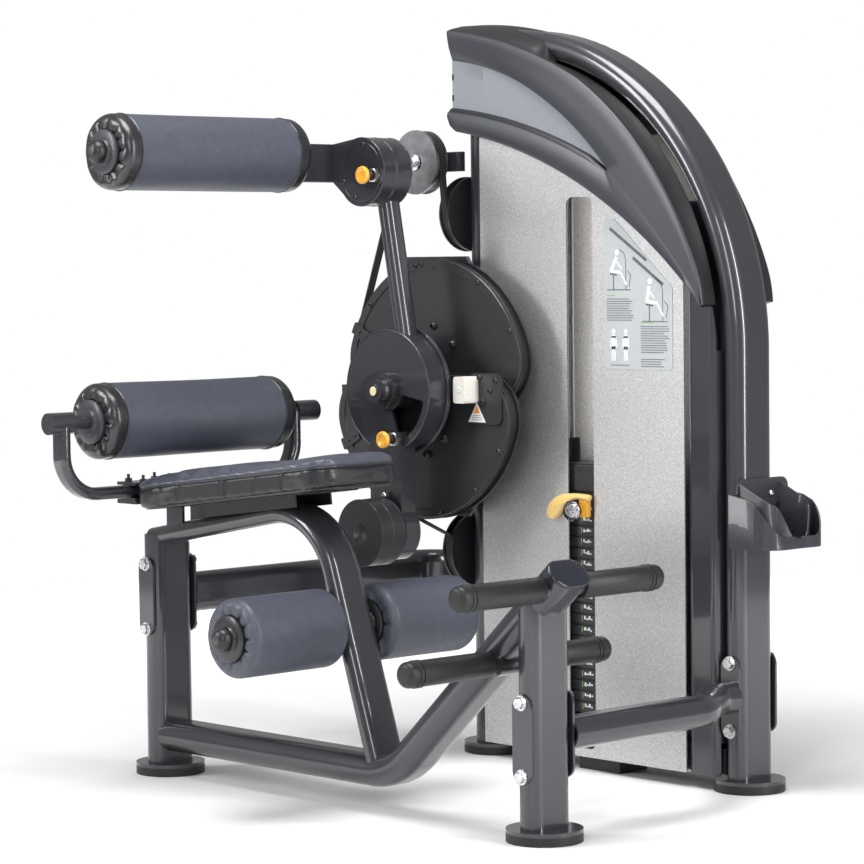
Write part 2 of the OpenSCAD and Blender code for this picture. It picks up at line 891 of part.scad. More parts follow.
module placard() {
    x0 = front_post_x - 390;
    x1 = front_post_x - 210;
    color("lightsteelblue") slab(panel_y - panel_t - 1.2, 1) intersection() {
        rounded([x0, 801], [x1, 1095], 10);
        polygon([[x0, 790], [x1, 790], [x1, 960], [x0 + 28, 1095], [x0, 1095]]);
    }
}

// ---- Cams ----

// One lobe of the cam, drawn about the pivot with its round side up
module lobe(r) {
    cr = cam_corner_r - (cam_r - r);
    a = atan2(cam_corner[1], cam_corner[0]);
    intersection() {
        circle(r = r, $fn = 128);
        polygon([[0, 0], 2 * r * [cos(a), sin(a)], 2 * r * [cos(a), 1], 2 * r * [-cos(a), 1],
                 2 * r * [-cos(a), sin(a)]]);
    }
    for (s = [-1, 1]) translate([s * cam_corner[0], cam_corner[1]]) circle(r = cr);
    translate([-cam_corner[0], cam_corner[1] - cr]) square([2 * cam_corner[0], cr]);
}

module cam_shape(y0, up) {
    hole = shaft_r + fit_gap;
    translate([hub_x, 0, hub_z]) {
        for (s = [0, 1]) slab(y0 + s * (cam_t - flange_t), flange_t) difference() {
            scale([1, up]) lobe(cam_r);
            circle(r = hole);
        }
        slab(y0 + flange_t - 0.5, cam_t - 2 * flange_t + 1) difference() {
            scale([1, up]) lobe(cam_r - groove_depth);
            circle(r = hole);
        }
    }
}

module upper_cam() {
    color("dimgray") cam_shape(upper_cam_y, 1);
    color("dimgray") ring_y([hub_x, upper_cam_y - 4, hub_z], 55, shaft_r + fit_gap, 4.5);
}

module lower_cam() {
    color("dimgray") cam_shape(lower_cam_y, -1);
}

// Index plate, bridge plate, stop bumper and screws on the cam's front
module cam_fittings() {
    color("dimgray") {
        translate([hub_x, 0, hub_z]) slab(index_y, index_t) difference() {
            circle(r = 116);
            circle(r = shaft_r + fit_gap);
            for (a = [-40 : 10 : 30]) rotate(start_pin_a + a) translate([start_pin_r, 0]) circle(r = bolt_r + fit_gap);
        }
        ring_y([hub_x, index_y + index_t, hub_z], 60, shaft_r + fit_gap, lower_cam_y - index_y - index_t);
        translate([hub_x, 0, hub_z]) slab(lower_cam_y - 5, 5)
            rounded([140, -66], [236, 34], 14);
    }
    color("ivory") translate([hub_x, 0, hub_z]) slab(lower_cam_y - 44, 39) rounded([140, -24], [172, 28], 5);
    color("black") for (a = [30 : 30 : 150], s = [-1, 1]) {
        y0 = s > 0 ? upper_cam_y : lower_cam_y;
        if (s < 0 || abs(a - 90) < 70)
            rod_y([hub_x + 248 * cos(a), y0 - 3, hub_z + s * 248 * sin(a)], 5, 3);
    }
}

module cam_support() {
    face_y = support_y + support_t;
    color("dimgray") difference() {
        union() {
            translate([hub_x, 0, hub_z]) slab(support_y, support_t)
                polygon([[-200, 150], [-120, 268], [60, 268], [78, 240], [78, -240], [60, -262],
                         [-60, -262], [-200, -60]]);
            for (z = [985, 530]) translate([upright_x, 0, z]) difference() {
                slab(face_y, tower_y - face_y) difference() {
                    circle(r = 22);
                    circle(r = 16);
                }
                translate([0, tower_y, -100]) linear_extrude(200) oval(post_t, post_w);
            }
            ring_y([hub_x, face_y - 1, hub_z], 45, shaft_r, 28);
        }
        rod_y([hub_x, support_y - 1, hub_z], shaft_r, 60);
    }
}

module main_shaft() {
    front = seat_y + 330;
    color("black") {
        rod_y([hub_x, front + 12, hub_z], shaft_r, face_end() - front - 12);
        rod_y([hub_x, front, hub_z], 23, 14);
    }
    color("lightyellow") rod_y([hub_x, front - 1.5, hub_z], 10, 2);
}

function face_end() = support_y + support_t + 26;

// ---- Swing arm ----

module swing_arm() {
    front = hub_y;
    hole = shaft_r + fit_gap;
    color("dimgray") translate([hub_x, 0, hub_z]) difference() {
        union() {
            slab(front, 7) circle(r = arm_disc_r);
            slab(front, arm_t) difference() {
                circle(r = arm_disc_r);
                circle(r = arm_disc_r - 8);
            }
            slab(front + arm_t - 6, 6) difference() {
                circle(r = arm_disc_r + 6);
                circle(r = arm_disc_r - 9);
            }
            slab(front - 16, arm_t + 14) circle(r = 37);
            slab(front - 7, 39) {
                translate([-46, -283]) square([92, 200]);
                translate([0, -283]) circle(r = 60);
            }
        }
        slab(front - 50, 150) circle(r = hole);
        slab(front - 1, 9) intersection() {
            difference() {
                circle(r = 108);
                circle(r = 42);
            }
            polygon([[0, 0], [200, -36], [200, -200], [64, -200]]);
        }
        rotate([0, -start_pin_a, 0]) translate([start_pin_r, 0, 0]) rotate([-90, 0, 0])
            translate([0, 0, front - 60]) cylinder(r = bolt_r + fit_gap, h = 160);
    }
}

arm_low = [hub_x + 38, hub_z + 92];
arm_high = [drum_x + 16, drum_z - 50];

module arm_tube() {
    back_y = drum_front_y + bracket_t + drum_gap;
    color("dimgray") difference() {
        union() {
            translate([0, arm_tube_y, 0]) bent_tube([arm_low, arm_high], 100, 38, 46, 4);
            translate([drum_x, 0, drum_z]) slab(back_y, drum_back_t) circle(r = drum_r);
            rod_y([drum_x, drum_front_y + 8, drum_z], 10, bracket_t + 4);
        }
        translate([hub_x, 0, hub_z]) {
            slab(hub_y - 50, 150) circle(r = arm_disc_r);
            slab(hub_y + arm_t - 7, 60) circle(r = arm_disc_r + 6.5);
        }
        for (a = [-40 : 20 : 40]) translate([drum_x, 0, drum_z]) rotate([0, -a, 0])
            rod_y([44, back_y - 1, -8], 5 + fit_gap, 20);
    }
}

module counterweight() {
    color("black") translate([hub_x, 0, hub_z - counterweight_arm]) {
        slab(counterweight_y, counterweight_t - 0.5) circle(r = counterweight_r);
        slab(counterweight_y + counterweight_t, counterweight_t) circle(r = counterweight_r);
        slab(counterweight_y + counterweight_t - 1, 2) circle(r = 20);
    }
}

// Pull pin along Y: rod, collar and round knob, with its nose at y1
module pull_pin(x, z, knob_y, y1, r) {
    color("silver") rod_y([x, knob_y + 8, z], r, y1 - knob_y - 8);
    color("gold") {
        rod_y([x, knob_y, z], 17.5, 12);
        rod_y([x, knob_y + 10, z], 10, 8);
    }
}

module start_pin() {
    x = hub_x + start_pin_r * cos(start_pin_a);
    z = hub_z + start_pin_r * sin(start_pin_a);
    pull_pin(x, z, hub_y - 52, hub_y + arm_t - 2, bolt_r);
}

module pad_bracket() {
    dx = chest_x - drum_x;
    dz = chest_z - drum_z;
    axle_end = seat_y - long_pad_half - cap_t - 2;
    color("dimgray") {
        translate([drum_x, 0, drum_z]) difference() {
            slab(drum_front_y, bracket_t) {
                circle(r = drum_r);
                polygon([[0, drum_r], [dx + 12, dz + 24], [dx + 12, dz - 54], [-30, -62]]);
            }
            slab(drum_front_y + 6, bracket_t) circle(r = 10 + fit_gap);
            rod_y([44, drum_front_y - 20, -8], 5 + fit_gap, bracket_t + 40);
        }
        translate([chest_x - 30, seat_y + long_pad_half + cap_t + 2, chest_z - 52]) difference() {
            cube([42, drum_front_y + bracket_t - seat_y - long_pad_half - cap_t - 2, 76]);
            translate([0, 20, 6]) cube([36, 200, 64]);
        }
    }
    color("silver") {
        rod_y([chest_x, axle_end, chest_z], 14, 2 * (seat_y - axle_end));
        rod_y([chest_x, axle_end - 14, chest_z], 19, 14);
    }
}

module tilt_pin() {
    pull_pin(drum_x + 44, drum_z - 8, drum_front_y - 41, drum_front_y + bracket_t - 1, 5);
}

module chest_pad() {
    color("slategray") roller_pad(chest_x, chest_z, seat_y - long_pad_half, seat_y + long_pad_half);
}

module chest_caps() {
    color("black") roller_caps(chest_x, chest_z, seat_y - long_pad_half, seat_y + long_pad_half, 14);
}

// ---- Pulleys and belts ----

// Flanged belt pulley along local Z, centred on the origin
module pulley(belt_r) {
    half = belt_w / 2 + 1;
    difference() {
        union() {
            cylinder(r = belt_r - belt_t / 2 - 0.3, h = 2 * half, center = true);
            for (s = [-1, 1]) translate([0, 0, s * (half + 2)]) cylinder(r = belt_r + 5, h = 4.02, center = true);
        }
        cylinder(r = pulley_bore + fit_gap, h = 60, center = true);
    }
}

module guide_pulley() {
    color("black") translate([guide_x, guide_y, guide_z]) rotate([-90, 0, 0]) pulley(guide_belt_r);
    color("silver") ring_y([guide_x, guide_y - belt_w / 2 - 9, guide_z], guide_belt_r + 6, pulley_bore + fit_gap, 4);
}

module upper_side_pulley() {
    color("black") translate([belt_x, side_y, side_z]) rotate([0, 90, 0]) pulley(side_belt_r);
}

module lower_side_pulley() {
    color("black") translate([belt_x, side_y, low_side_z]) rotate([0, 90, 0]) pulley(side_belt_r);
}

module top_pulley() {
    color("black") translate([top_x, top_y, top_z]) rotate([-90, 0, 0]) pulley(top_belt_r);
}

module pulley_brackets() {
    color("dimgray") {
        rod_y([guide_x, guide_y - belt_w / 2 - 11, guide_z], pulley_bore, 62);
        translate([guide_x - 16, guide_y + 27, guide_z - 20]) difference() {
            cube([upright_x - guide_x + 16 - 21, 12, 40]);
            translate([16, -1, 20]) rotate([-90, 0, 0]) cylinder(r = pulley_bore, h = 14);
        }
        for (z = [side_z, low_side_z])
            rod_x([belt_x - 15, side_y, z], pulley_bore, upright_x - belt_x + 15 - 12);
        rod_y([top_x, tower_y + 25, top_z], pulley_bore, top_y - tower_y - 25 + 14);
        translate([top_x - 20, tower_y + 25, top_z - 45]) difference() {
            cube([40, 8, 65]);
            translate([20, -1, 45]) rotate([-90, 0, 0]) cylinder(r = pulley_bore, h = 10);
        }
    }
}

// Short piece of belt for a run's end: across says which way its width lies
module belt_end(p, across) {
    size = across == "y" ? [belt_t, belt_w, 1] : [belt_w, belt_t, 1];
    translate(p) cube(size, center = true);
}

// Straight runs of belt from end to end, each end a place and the way the belt's width lies
module belt_runs(ends) {
    for (i = [1 : len(ends) - 1]) hull() {
        belt_end(ends[i - 1][0], ends[i - 1][1]);
        belt_end(ends[i][0], ends[i][1]);
    }
}

// Belt on a pulley in the local XY plane, from angle a over the span
module belt_wrap(r, a, span) {
    rotate([0, 0, a]) rotate_extrude(angle = span) translate([r - belt_t / 2, -belt_w / 2]) square([belt_t, belt_w]);
}

cam_belt_r = cam_r - groove_depth + belt_t / 2 + 0.3;
corner_belt_r = cam_corner_r - groove_depth + belt_t / 2 + 0.3;
upper_tangent = 163.9;
upper_leave = [hub_x - cam_corner[0] + corner_belt_r * cos(upper_tangent),
               hub_z + cam_corner[1] + corner_belt_r * sin(upper_tangent)];
upper_meet = [guide_x + guide_belt_r * cos(upper_tangent), guide_z + guide_belt_r * sin(upper_tangent)];
lower_tangent = -132;
lower_leave = [hub_x + cam_belt_r * cos(lower_tangent), hub_z + cam_belt_r * sin(lower_tangent)];

module upper_belt() {
    cam_y = upper_cam_y + cam_t / 2;
    color("black") {
        belt_runs([
            [[upper_leave[0], cam_y, upper_leave[1]], "y"],
            [[upper_leave[0] + 60 * sin(upper_tangent), cam_y, upper_leave[1] - 60 * cos(upper_tangent)], "y"],
            [[upper_meet[0] - 30 * sin(upper_tangent), guide_y, upper_meet[1] + 30 * cos(upper_tangent)], "y"],
            [[upper_meet[0], guide_y, upper_meet[1]], "y"]
        ]);
        translate([guide_x, guide_y, guide_z]) rotate([90, 0, 0]) belt_wrap(guide_belt_r, 0, upper_tangent);
        hull() {
            belt_end([belt_x, guide_y, guide_z], "y");
            belt_end([belt_x, side_y - side_belt_r, side_z], "x");
        }
        translate([belt_x, side_y, side_z]) rotate([90, 0, 90]) belt_wrap(side_belt_r, 180, 180);
        belt_runs([
            [[belt_x, side_y + side_belt_r, side_z], "x"],
            [[belt_x, side_y + side_belt_r, side_z + 32], "x"],
            [[top_x + top_belt_r * cos(145), top_y, top_z + top_belt_r * sin(145)], "y"]
        ]);
        translate([top_x, top_y, top_z]) rotate([90, 0, 0]) belt_wrap(top_belt_r, 0, 145);
        translate([stack_x - belt_t / 2, top_y - belt_w / 2, head_z + 50.5]) cube([belt_t, belt_w, top_z - head_z - 50]);
    }
}

module lower_belt() {
    cam_y = lower_cam_y + cam_t / 2;
    color("black") {
        belt_runs([
            [[lower_leave[0], cam_y, lower_leave[1]], "y"],
            [[lower_leave[0] - 66 * sin(lower_tangent), cam_y, lower_leave[1] + 66 * cos(lower_tangent)], "y"],
            [[belt_x, side_y - side_belt_r, low_side_z + 32], "x"],
            [[belt_x, side_y - side_belt_r, low_side_z], "x"]
        ]);
        translate([belt_x, side_y, low_side_z]) rotate([90, 0, 90]) belt_wrap(side_belt_r, 180, 180);
        translate([belt_x - belt_w / 2, side_y + side_belt_r - belt_t / 2, low_side_z])
            cube([belt_w, belt_t, side_z - low_side_z - 110]);
    }
}

// ---- Show the chosen node ----

rear_post();
front_post();
base_beam();
beam_end_cap();
seat_tube();
front_cross_tube();
rear_cross_tube();
joint_plates();
frame_bolts();
rubber_feet();
foot_bars();
foot_bar_grips();
seat_pad();
seat_plate();
lumbar_yoke();
yoke_clamps();
lumbar_pad();
lumbar_caps();
leg_axle();
left_leg_pad();
left_leg_caps();
right_leg_pad();
right_leg_caps();
left_upright();
arch_tube();
side_trim();
tower_base();
front_panel();
rear_panel();
front_shroud();
rear_shroud();
guide_rods();
stack_bumpers();
weight_plates();
lifted_plates();
stack_head();
selector_pin();
cup_holder();
placard();
cam_support();
main_shaft();
upper_cam();
lower_cam();
cam_fittings();
swing_arm();
arm_tube();
counterweight();
start_pin();
pad_bracket();
tilt_pin();
chest_pad();
chest_caps();
guide_pulley();
upper_side_pulley();
lower_side_pulley();
top_pulley();
pulley_brackets();
upper_belt();
lower_belt();
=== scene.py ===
"""Visual model of the abdominal crunch and back extension machine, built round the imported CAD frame.

Lengths are in metres. mm() takes profiles that are written in millimetres.
"""

import json
import math
import random

import bmesh
import bpy
from mathutils import Matrix, Vector


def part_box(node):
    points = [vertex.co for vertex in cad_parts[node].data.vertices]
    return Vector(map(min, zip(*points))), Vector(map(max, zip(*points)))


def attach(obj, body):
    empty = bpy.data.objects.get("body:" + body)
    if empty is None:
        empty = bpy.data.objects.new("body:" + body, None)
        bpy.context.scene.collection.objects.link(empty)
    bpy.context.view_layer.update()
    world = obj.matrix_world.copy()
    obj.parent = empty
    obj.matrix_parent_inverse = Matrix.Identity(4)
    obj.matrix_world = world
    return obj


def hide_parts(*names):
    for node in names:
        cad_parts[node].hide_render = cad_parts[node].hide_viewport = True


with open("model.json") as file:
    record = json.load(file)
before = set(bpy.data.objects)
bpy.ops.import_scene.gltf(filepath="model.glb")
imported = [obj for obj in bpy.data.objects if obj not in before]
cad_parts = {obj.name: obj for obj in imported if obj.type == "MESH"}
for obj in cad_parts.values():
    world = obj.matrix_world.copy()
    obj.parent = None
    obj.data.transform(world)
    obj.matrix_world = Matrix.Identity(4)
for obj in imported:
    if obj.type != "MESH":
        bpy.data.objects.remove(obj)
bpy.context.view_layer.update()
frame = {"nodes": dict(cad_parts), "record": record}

TAU = 2 * math.pi


# ---- Places, all from the frame ----

def lo_hi(node):
    """A node's lowest and highest corners."""
    lo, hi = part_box(node)
    return Vector(lo), Vector(hi)


def middle(node):
    lo, hi = lo_hi(node)
    return (lo + hi) / 2


JOINTS = {j["name"]: j for j in frame["record"]["behaviour"]["joints"]}
HUB = Vector(JOINTS["cam_swing"]["pos_m"])
DRUM = Vector(JOINTS["pad_tilt"]["pos_m"])
TOWER_Y = middle("guide_rods").y


# ---- Materials ----

class Shader:
    """A Principled material whose nodes read object coordinates, in metres."""

    def __init__(self, name, color, **sockets):
        self.mat = bpy.data.materials.new(name)
        self.mat.use_nodes = True
        self.tree = self.mat.node_tree
        self.bsdf = self.tree.nodes["Principled BSDF"]
        self.coords = self.node("ShaderNodeTexCoord").outputs["Object"]
        self.bsdf.inputs["Base Color"].default_value = (*color, 1)
        self.mat.diffuse_color = (*color, 1)
        for key, value in sockets.items():
            self.bsdf.inputs[key.replace("_", " ")].default_value = value

    def node(self, kind, **links):
        made = self.tree.nodes.new(kind)
        for key, value in links.items():
            socket = made.inputs[key.replace("_", " ")]
            if isinstance(value, bpy.types.NodeSocket):
                self.tree.links.new(value, socket)
            else:
                socket.default_value = value
        return made

    def noise(self, scale, detail=3.0, rough=0.5, stretch=None):
        vector = self.coords
        if stretch:
            vector = self.node("ShaderNodeMapping", Vector=vector, Scale=stretch).outputs[0]
        return self.node("ShaderNodeTexNoise", Vector=vector, Scale=scale, Detail=detail, Roughness=rough).outputs[0]

    def cells(self, scale, feature):
        made = self.node("ShaderNodeTexVoronoi", Vector=self.coords, Scale=scale)
        made.feature = feature
        return made.outputs[0]

    def tint(self, fac, *stops):
        """Colour from (place, colour) stops."""
        made = self.node("ShaderNodeValToRGB", Fac=fac)
        points = made.color_ramp.elements
        while len(points) < len(stops):
            points.new(0.5)
        for point, (place, color) in zip(points, stops):
            point.position = place
            point.color = (*color, 1)
        self.tree.links.new(made.outputs[0], self.bsdf.inputs["Base Color"])

    def gloss(self, fac, low, high):
        """Roughness between two values."""
        made = self.node("ShaderNodeMapRange", Value=fac, To_Min=low, To_Max=high)
        self.tree.links.new(made.outputs[0], self.bsdf.inputs["Roughness"])

    def bump(self, height, depth, strength):
        """Bump on top of any that is there."""
        made = self.node("ShaderNodeBump", Height=height, Distance=depth, Strength=strength)
        before = self.bsdf.inputs["Normal"]
        if before.is_linked:
            self.tree.links.new(before.links[0].from_socket, made.inputs["Normal"])
        self.tree.links.new(made.outputs[0], before)


M = {}


def surface(key, name, color, dark, light, tint, gloss, bump=None, start=0.3, **sockets):
    """Fills M[key] with a material that drifts between dark and light.

    tint holds a noise's arguments; gloss a noise's arguments, then the lowest and highest roughness; bump a
    noise's arguments, then a depth and a strength.
    """
    s = Shader(name, color, **sockets)
    s.tint(s.noise(*tint), (start, dark), (0.7, light))
    s.gloss(s.noise(*gloss[0]), *gloss[1:])
    if bump:
        s.bump(s.noise(*bump[0]), *bump[1:])
    M[key] = s.mat
    return s


def paint(key, name, dark, light, rough, coat, metallic):
    surface(key, name, light, dark, light, (2600, 2), ((14, 4), rough - 0.05, rough + 0.07),
            ((420, 2), 0.00012, 0.35), 0.35, Metallic=metallic, Coat_Weight=coat, Coat_Roughness=0.07)


def vinyl(key, name, dark, light, rough, coat):
    s = surface(key, name, light, dark, light, (60, 5, 0.6), ((90, 4), rough - 0.05, rough + 0.07),
                Coat_Weight=coat, Coat_Roughness=0.2)
    s.bump(s.cells(1150, "DISTANCE_TO_EDGE"), 0.00025, 0.55)
    s.bump(s.noise(45, 4), 0.0009, 0.35)


def plastic(key, name, dark, light, rough, grain, **sockets):
    surface(key, name, light, dark, light, (260, 4), ((70, 4), rough - 0.05, rough + 0.06),
            ((grain, 2), 0.00014, 0.6), **sockets)


paint("frame", "charcoal_gloss_paint", (0.03, 0.031, 0.037), (0.058, 0.059, 0.07), 0.3, 0.85, 0.45)
paint("cam", "satin_black_paint", (0.02, 0.02, 0.023), (0.036, 0.036, 0.041), 0.42, 0.25, 0.25)
vinyl("vinyl", "blue_grey_vinyl", (0.052, 0.057, 0.078), (0.068, 0.074, 0.1), 0.46, 0.12)
vinyl("vinyl_gloss", "black_gloss_vinyl", (0.01, 0.01, 0.012), (0.018, 0.018, 0.021), 0.28, 0.5)
vinyl("seat_top", "seat_top_vinyl", (0.05, 0.055, 0.074), (0.066, 0.072, 0.096), 0.34, 0.3)
vinyl("seat_side", "seat_side_vinyl", (0.006, 0.006, 0.008), (0.011, 0.011, 0.014), 0.36, 0.25)

# Moulded plastics and prints: darkest and lightest colour, roughness, grain and coat.
for key, name, dark, light, rough, grain, coat in (
        ("plastic", "black_plastic", (0.013, 0.013, 0.015), (0.024, 0.024, 0.027), 0.36, 1800, 0.2),
        ("rubber", "black_rubber", (0.006, 0.006, 0.007), (0.013, 0.013, 0.014), 0.46, 900, 0),
        ("belt", "belt_rubber", (0.008, 0.008, 0.009), (0.018, 0.018, 0.019), 0.6, 1200, 0),
        ("amber", "amber_plastic", (0.8, 0.36, 0.025), (0.92, 0.47, 0.05), 0.26, 1800, 0.5),
        ("lever", "pale_amber_plastic", (0.82, 0.55, 0.17), (0.9, 0.64, 0.24), 0.32, 1800, 0.4),
        ("dot", "pale_yellow_plastic", (0.8, 0.72, 0.42), (0.87, 0.8, 0.5), 0.35, 1800, 0.3),
        ("white", "white_print", (0.74, 0.75, 0.76), (0.82, 0.83, 0.84), 0.45, 1800, 0),
        ("ink", "dark_print", (0.09, 0.1, 0.11), (0.14, 0.15, 0.16), 0.5, 1800, 0),
        ("green", "green_print", (0.2, 0.42, 0.08), (0.27, 0.5, 0.11), 0.5, 1800, 0),
        ("orange", "orange_print", (0.8, 0.25, 0.02), (0.88, 0.31, 0.04), 0.45, 1800, 0),
        ("placard", "placard_film", (0.46, 0.49, 0.5), (0.51, 0.54, 0.55), 0.34, 1800, 0.3),
        ("grey_cap", "grey_cap_plastic", (0.03, 0.032, 0.038), (0.044, 0.046, 0.054), 0.42, 1800, 0.15),
        # The next row is a lighter copy of the cast plate colour, painted light on the plates' front strips.
        ("plate_face", "cast_plate_lit_face", (0.026, 0.026, 0.029), (0.042, 0.042, 0.046), 0.36, 700, 0.2),
        ("cup", "cup_plastic", (0.02, 0.021, 0.026), (0.034, 0.036, 0.045), 0.36, 1500, 0.25),
        ("cap", "beam_cap_plastic", (0.008, 0.009, 0.016), (0.014, 0.016, 0.026), 0.26, 1500, 0.3)):
    plastic(key, name, dark, light, rough, grain, Coat_Weight=coat)
plastic("nylon", "white_nylon", (0.74, 0.71, 0.64), (0.84, 0.81, 0.74), 0.42, 1800, Subsurface_Weight=0.1)

surface("shroud", "satin_graphite_plastic", (0.06, 0.066, 0.09), (0.026, 0.028, 0.036), (0.038, 0.041, 0.052),
        (900, 3), ((30, 4), 0.34, 0.44), ((2200, 2), 0.0001, 0.5), Coat_Weight=0.35, Coat_Roughness=0.25)
surface("recess", "recess_plastic", (0.22, 0.235, 0.26), (0.19, 0.2, 0.225), (0.24, 0.255, 0.285),
        (700, 3), ((40, 4), 0.36, 0.48), ((2200, 2), 0.0001, 0.5), Coat_Weight=0.2, Coat_Roughness=0.3)
surface("lip", "lip_plastic", (0.01, 0.01, 0.012), (0.007, 0.007, 0.008), (0.013, 0.013, 0.015),
        (500, 3), ((40, 4), 0.34, 0.46), ((1500, 2), 0.0001, 0.4), Coat_Weight=0.1, Coat_Roughness=0.25)
surface("zinc", "zinc_steel", (0.68, 0.68, 0.7), (0.55, 0.55, 0.57), (0.76, 0.76, 0.78),
        (180, 4), ((260, 4), 0.2, 0.36), ((700, 3), 0.00005, 0.2), Metallic=1)
surface("chrome", "chromed_steel", (0.78, 0.78, 0.8), (0.74, 0.74, 0.76), (0.82, 0.82, 0.84),
        (40, 3), ((24, 4, 0.5, (8, 8, 1)), 0.05, 0.12), Metallic=1)
surface("pulley_face", "zinc_plated_face", (0.42, 0.42, 0.44), (0.26, 0.26, 0.28), (0.44, 0.44, 0.46),
        (16, 5, 0.6), ((60, 4), 0.22, 0.4), ((900, 2), 0.0001, 0.4), Metallic=1)
surface("plates", "black_cast_plate", (0.022, 0.022, 0.024), (0.015, 0.015, 0.017), (0.03, 0.03, 0.033),
        (120, 5), ((90, 4), 0.38, 0.55), ((500, 4, 0.6), 0.0003, 0.5), Coat_Weight=0.2)

s = Shader("speckled_silver_paint", (0.46, 0.46, 0.47), Metallic=0.75)
s.tint(s.noise(360, 3, 0.7), (0.34, (0.44, 0.44, 0.445)), (0.5, (0.58, 0.58, 0.585)), (0.66, (0.74, 0.74, 0.745)))
s.gloss(s.noise(300, 3), 0.4, 0.56)
s.bump(s.noise(380, 3, 0.65), 0.00035, 0.5)
M["panel"] = s.mat

s = Shader("clear_acrylic", (0.93, 0.94, 0.95), Transmission_Weight=1, IOR=1.49)
s.gloss(s.noise(300, 2), 0.02, 0.07)
M["clear"] = s.mat

LOOKS = {
    "frame": "rear_post front_post base_beam seat_tube front_cross_tube rear_cross_tube joint_plates "
             "lumbar_yoke yoke_clamps leg_axle left_upright arch_tube side_trim tower_base swing_arm "
             "arm_tube pad_bracket pulley_brackets cam_support foot_bars",
    "cam": "upper_cam lower_cam cam_fittings counterweight main_shaft seat_plate",
    "zinc": "frame_bolts",
    "chrome": "guide_rods",
    "rubber": "rubber_feet foot_bar_grips stack_bumpers",
    "belt": "upper_belt lower_belt",
    "plastic": "beam_end_cap lumbar_caps left_leg_caps right_leg_caps chest_caps cup_holder "
               "upper_side_pulley lower_side_pulley top_pulley",
    "vinyl": "seat_pad lumbar_pad left_leg_pad right_leg_pad chest_pad",
    "panel": "front_panel rear_panel",
    "shroud": "front_shroud rear_shroud",
    "plates": "weight_plates lifted_plates stack_head",
    "amber": "selector_pin start_pin tilt_pin",
    "placard": "placard",
    "pulley_face": "guide_pulley",
}
for look, names in LOOKS.items():
    for name in names.split():
        data = frame["nodes"][name].data
        data.materials.clear()
        data.materials.append(M[look])


# ---- Camera, lights and floor ----

CAMERA_AT = Vector((4.2272, -3.9365, 1.0106))
CAMERA_AZIMUTH = math.radians(46.906)
CAMERA_PITCH = math.radians(3.181)
CAMERA_ROLL = math.radians(-0.643)
LENS_MM = 126.17
SENSOR_MM = 36
WORLD_STRENGTH = 0.32
FLOOR_R = 4.0
FLOOR_DROP = 0.0005
DOME_R = 40

forward = Vector((-math.sin(CAMERA_AZIMUTH) * math.cos(CAMERA_PITCH),
                  math.cos(CAMERA_AZIMUTH) * math.cos(CAMERA_PITCH), -math.sin(CAMERA_PITCH)))
right = Vector((math.cos(CAMERA_AZIMUTH), math.sin(CAMERA_AZIMUTH), 0))
down = forward.cross(right)
turned_right = math.cos(CAMERA_ROLL) * right - math.sin(CAMERA_ROLL) * down
turned_down = math.sin(CAMERA_ROLL) * right + math.cos(CAMERA_ROLL) * down
camera = bpy.data.objects.new("camera", bpy.data.cameras.new("camera"))
bpy.context.collection.objects.link(camera)
camera.data.lens = LENS_MM
camera.data.sensor_width = SENSOR_MM
camera.data.clip_end = 100
axes = Matrix((turned_right, -turned_down, -forward)).transposed()
camera.matrix_world = Matrix.Translation(CAMERA_AT) @ axes.to_4x4()
bpy.context.scene.camera = camera


def area_light(name, at, aim, size, watts, color=(1, 1, 1)):
    lamp = bpy.data.lights.new(name, "AREA")
    lamp.shape = "RECTANGLE"
    lamp.size, lamp.size_y = size
    lamp.energy = watts
    lamp.color = color
    obj = bpy.data.objects.new(name, lamp)
    bpy.context.collection.objects.link(obj)
    obj.location = at
    obj.rotation_euler = (Vector(aim) - Vector(at)).to_track_quat("-Z", "Y").to_euler()


area_light("key_softbox", (-2.2, -3.6, 2.6), (0, 0, 0.8), (1.0, 2.4), 110)
area_light("right_strip", (3.4, 0.6, 1.7), (0.1, 0.1, 0.8), (0.35, 2.8), 80)
area_light("top_softbox", (0.2, -0.6, 3.8), (0, 0, 0.5), (1.8, 1.8), 110)
area_light("front_fill", (2.6, -3.6, 2.4), (0, 0, 0.9), (0.6, 2.2), 48)
area_light("tower_lamp", (-0.09, TOWER_Y - 0.045, 0.93), (0.16, TOWER_Y + 0.08, 0.93), (0.03, 0.62), 0.4,
           (1.0, 0.96, 0.91))

world = bpy.data.worlds.new("studio")
bpy.context.scene.world = world
world.use_nodes = True
world.node_tree.nodes["Background"].inputs[0].default_value = (1, 1, 1, 1)
world.node_tree.nodes["Background"].inputs[1].default_value = WORLD_STRENGTH
bpy.context.scene.view_settings.view_transform = "Standard"


def new_object(name, bm):
    """Turns a bmesh into an object of the scene."""
    mesh = bpy.data.meshes.new(name)
    bm.to_mesh(mesh)
    bm.free()
    obj = bpy.data.objects.new(name, mesh)
    bpy.context.collection.objects.link(obj)
    return obj


# The floor is a disc that brightens to the white of the studio dome at its rim.
bm = bmesh.new()
bmesh.ops.create_circle(bm, cap_ends=True, segments=128, radius=FLOOR_R,
                        matrix=Matrix.Translation((0, 0, -FLOOR_DROP)))
floor = new_object("floor", bm)
s = Shader("pale_floor", (0.9, 0.9, 0.9), Emission_Color=(1, 1, 1, 1))
s.tint(s.noise(3, 3), (0.3, (0.89, 0.89, 0.89)), (0.7, (0.92, 0.92, 0.92)))
s.gloss(s.noise(9, 3), 0.5, 0.65)
far = s.node("ShaderNodeVectorMath", Vector=s.coords)
far.operation = "LENGTH"
fade = s.node("ShaderNodeMapRange", Value=far.outputs["Value"], From_Min=0.9, From_Max=FLOOR_R * 0.9)
fade.interpolation_type = "SMOOTHSTEP"
s.tree.links.new(fade.outputs[0], s.bsdf.inputs["Emission Strength"])
floor.data.materials.append(s.mat)

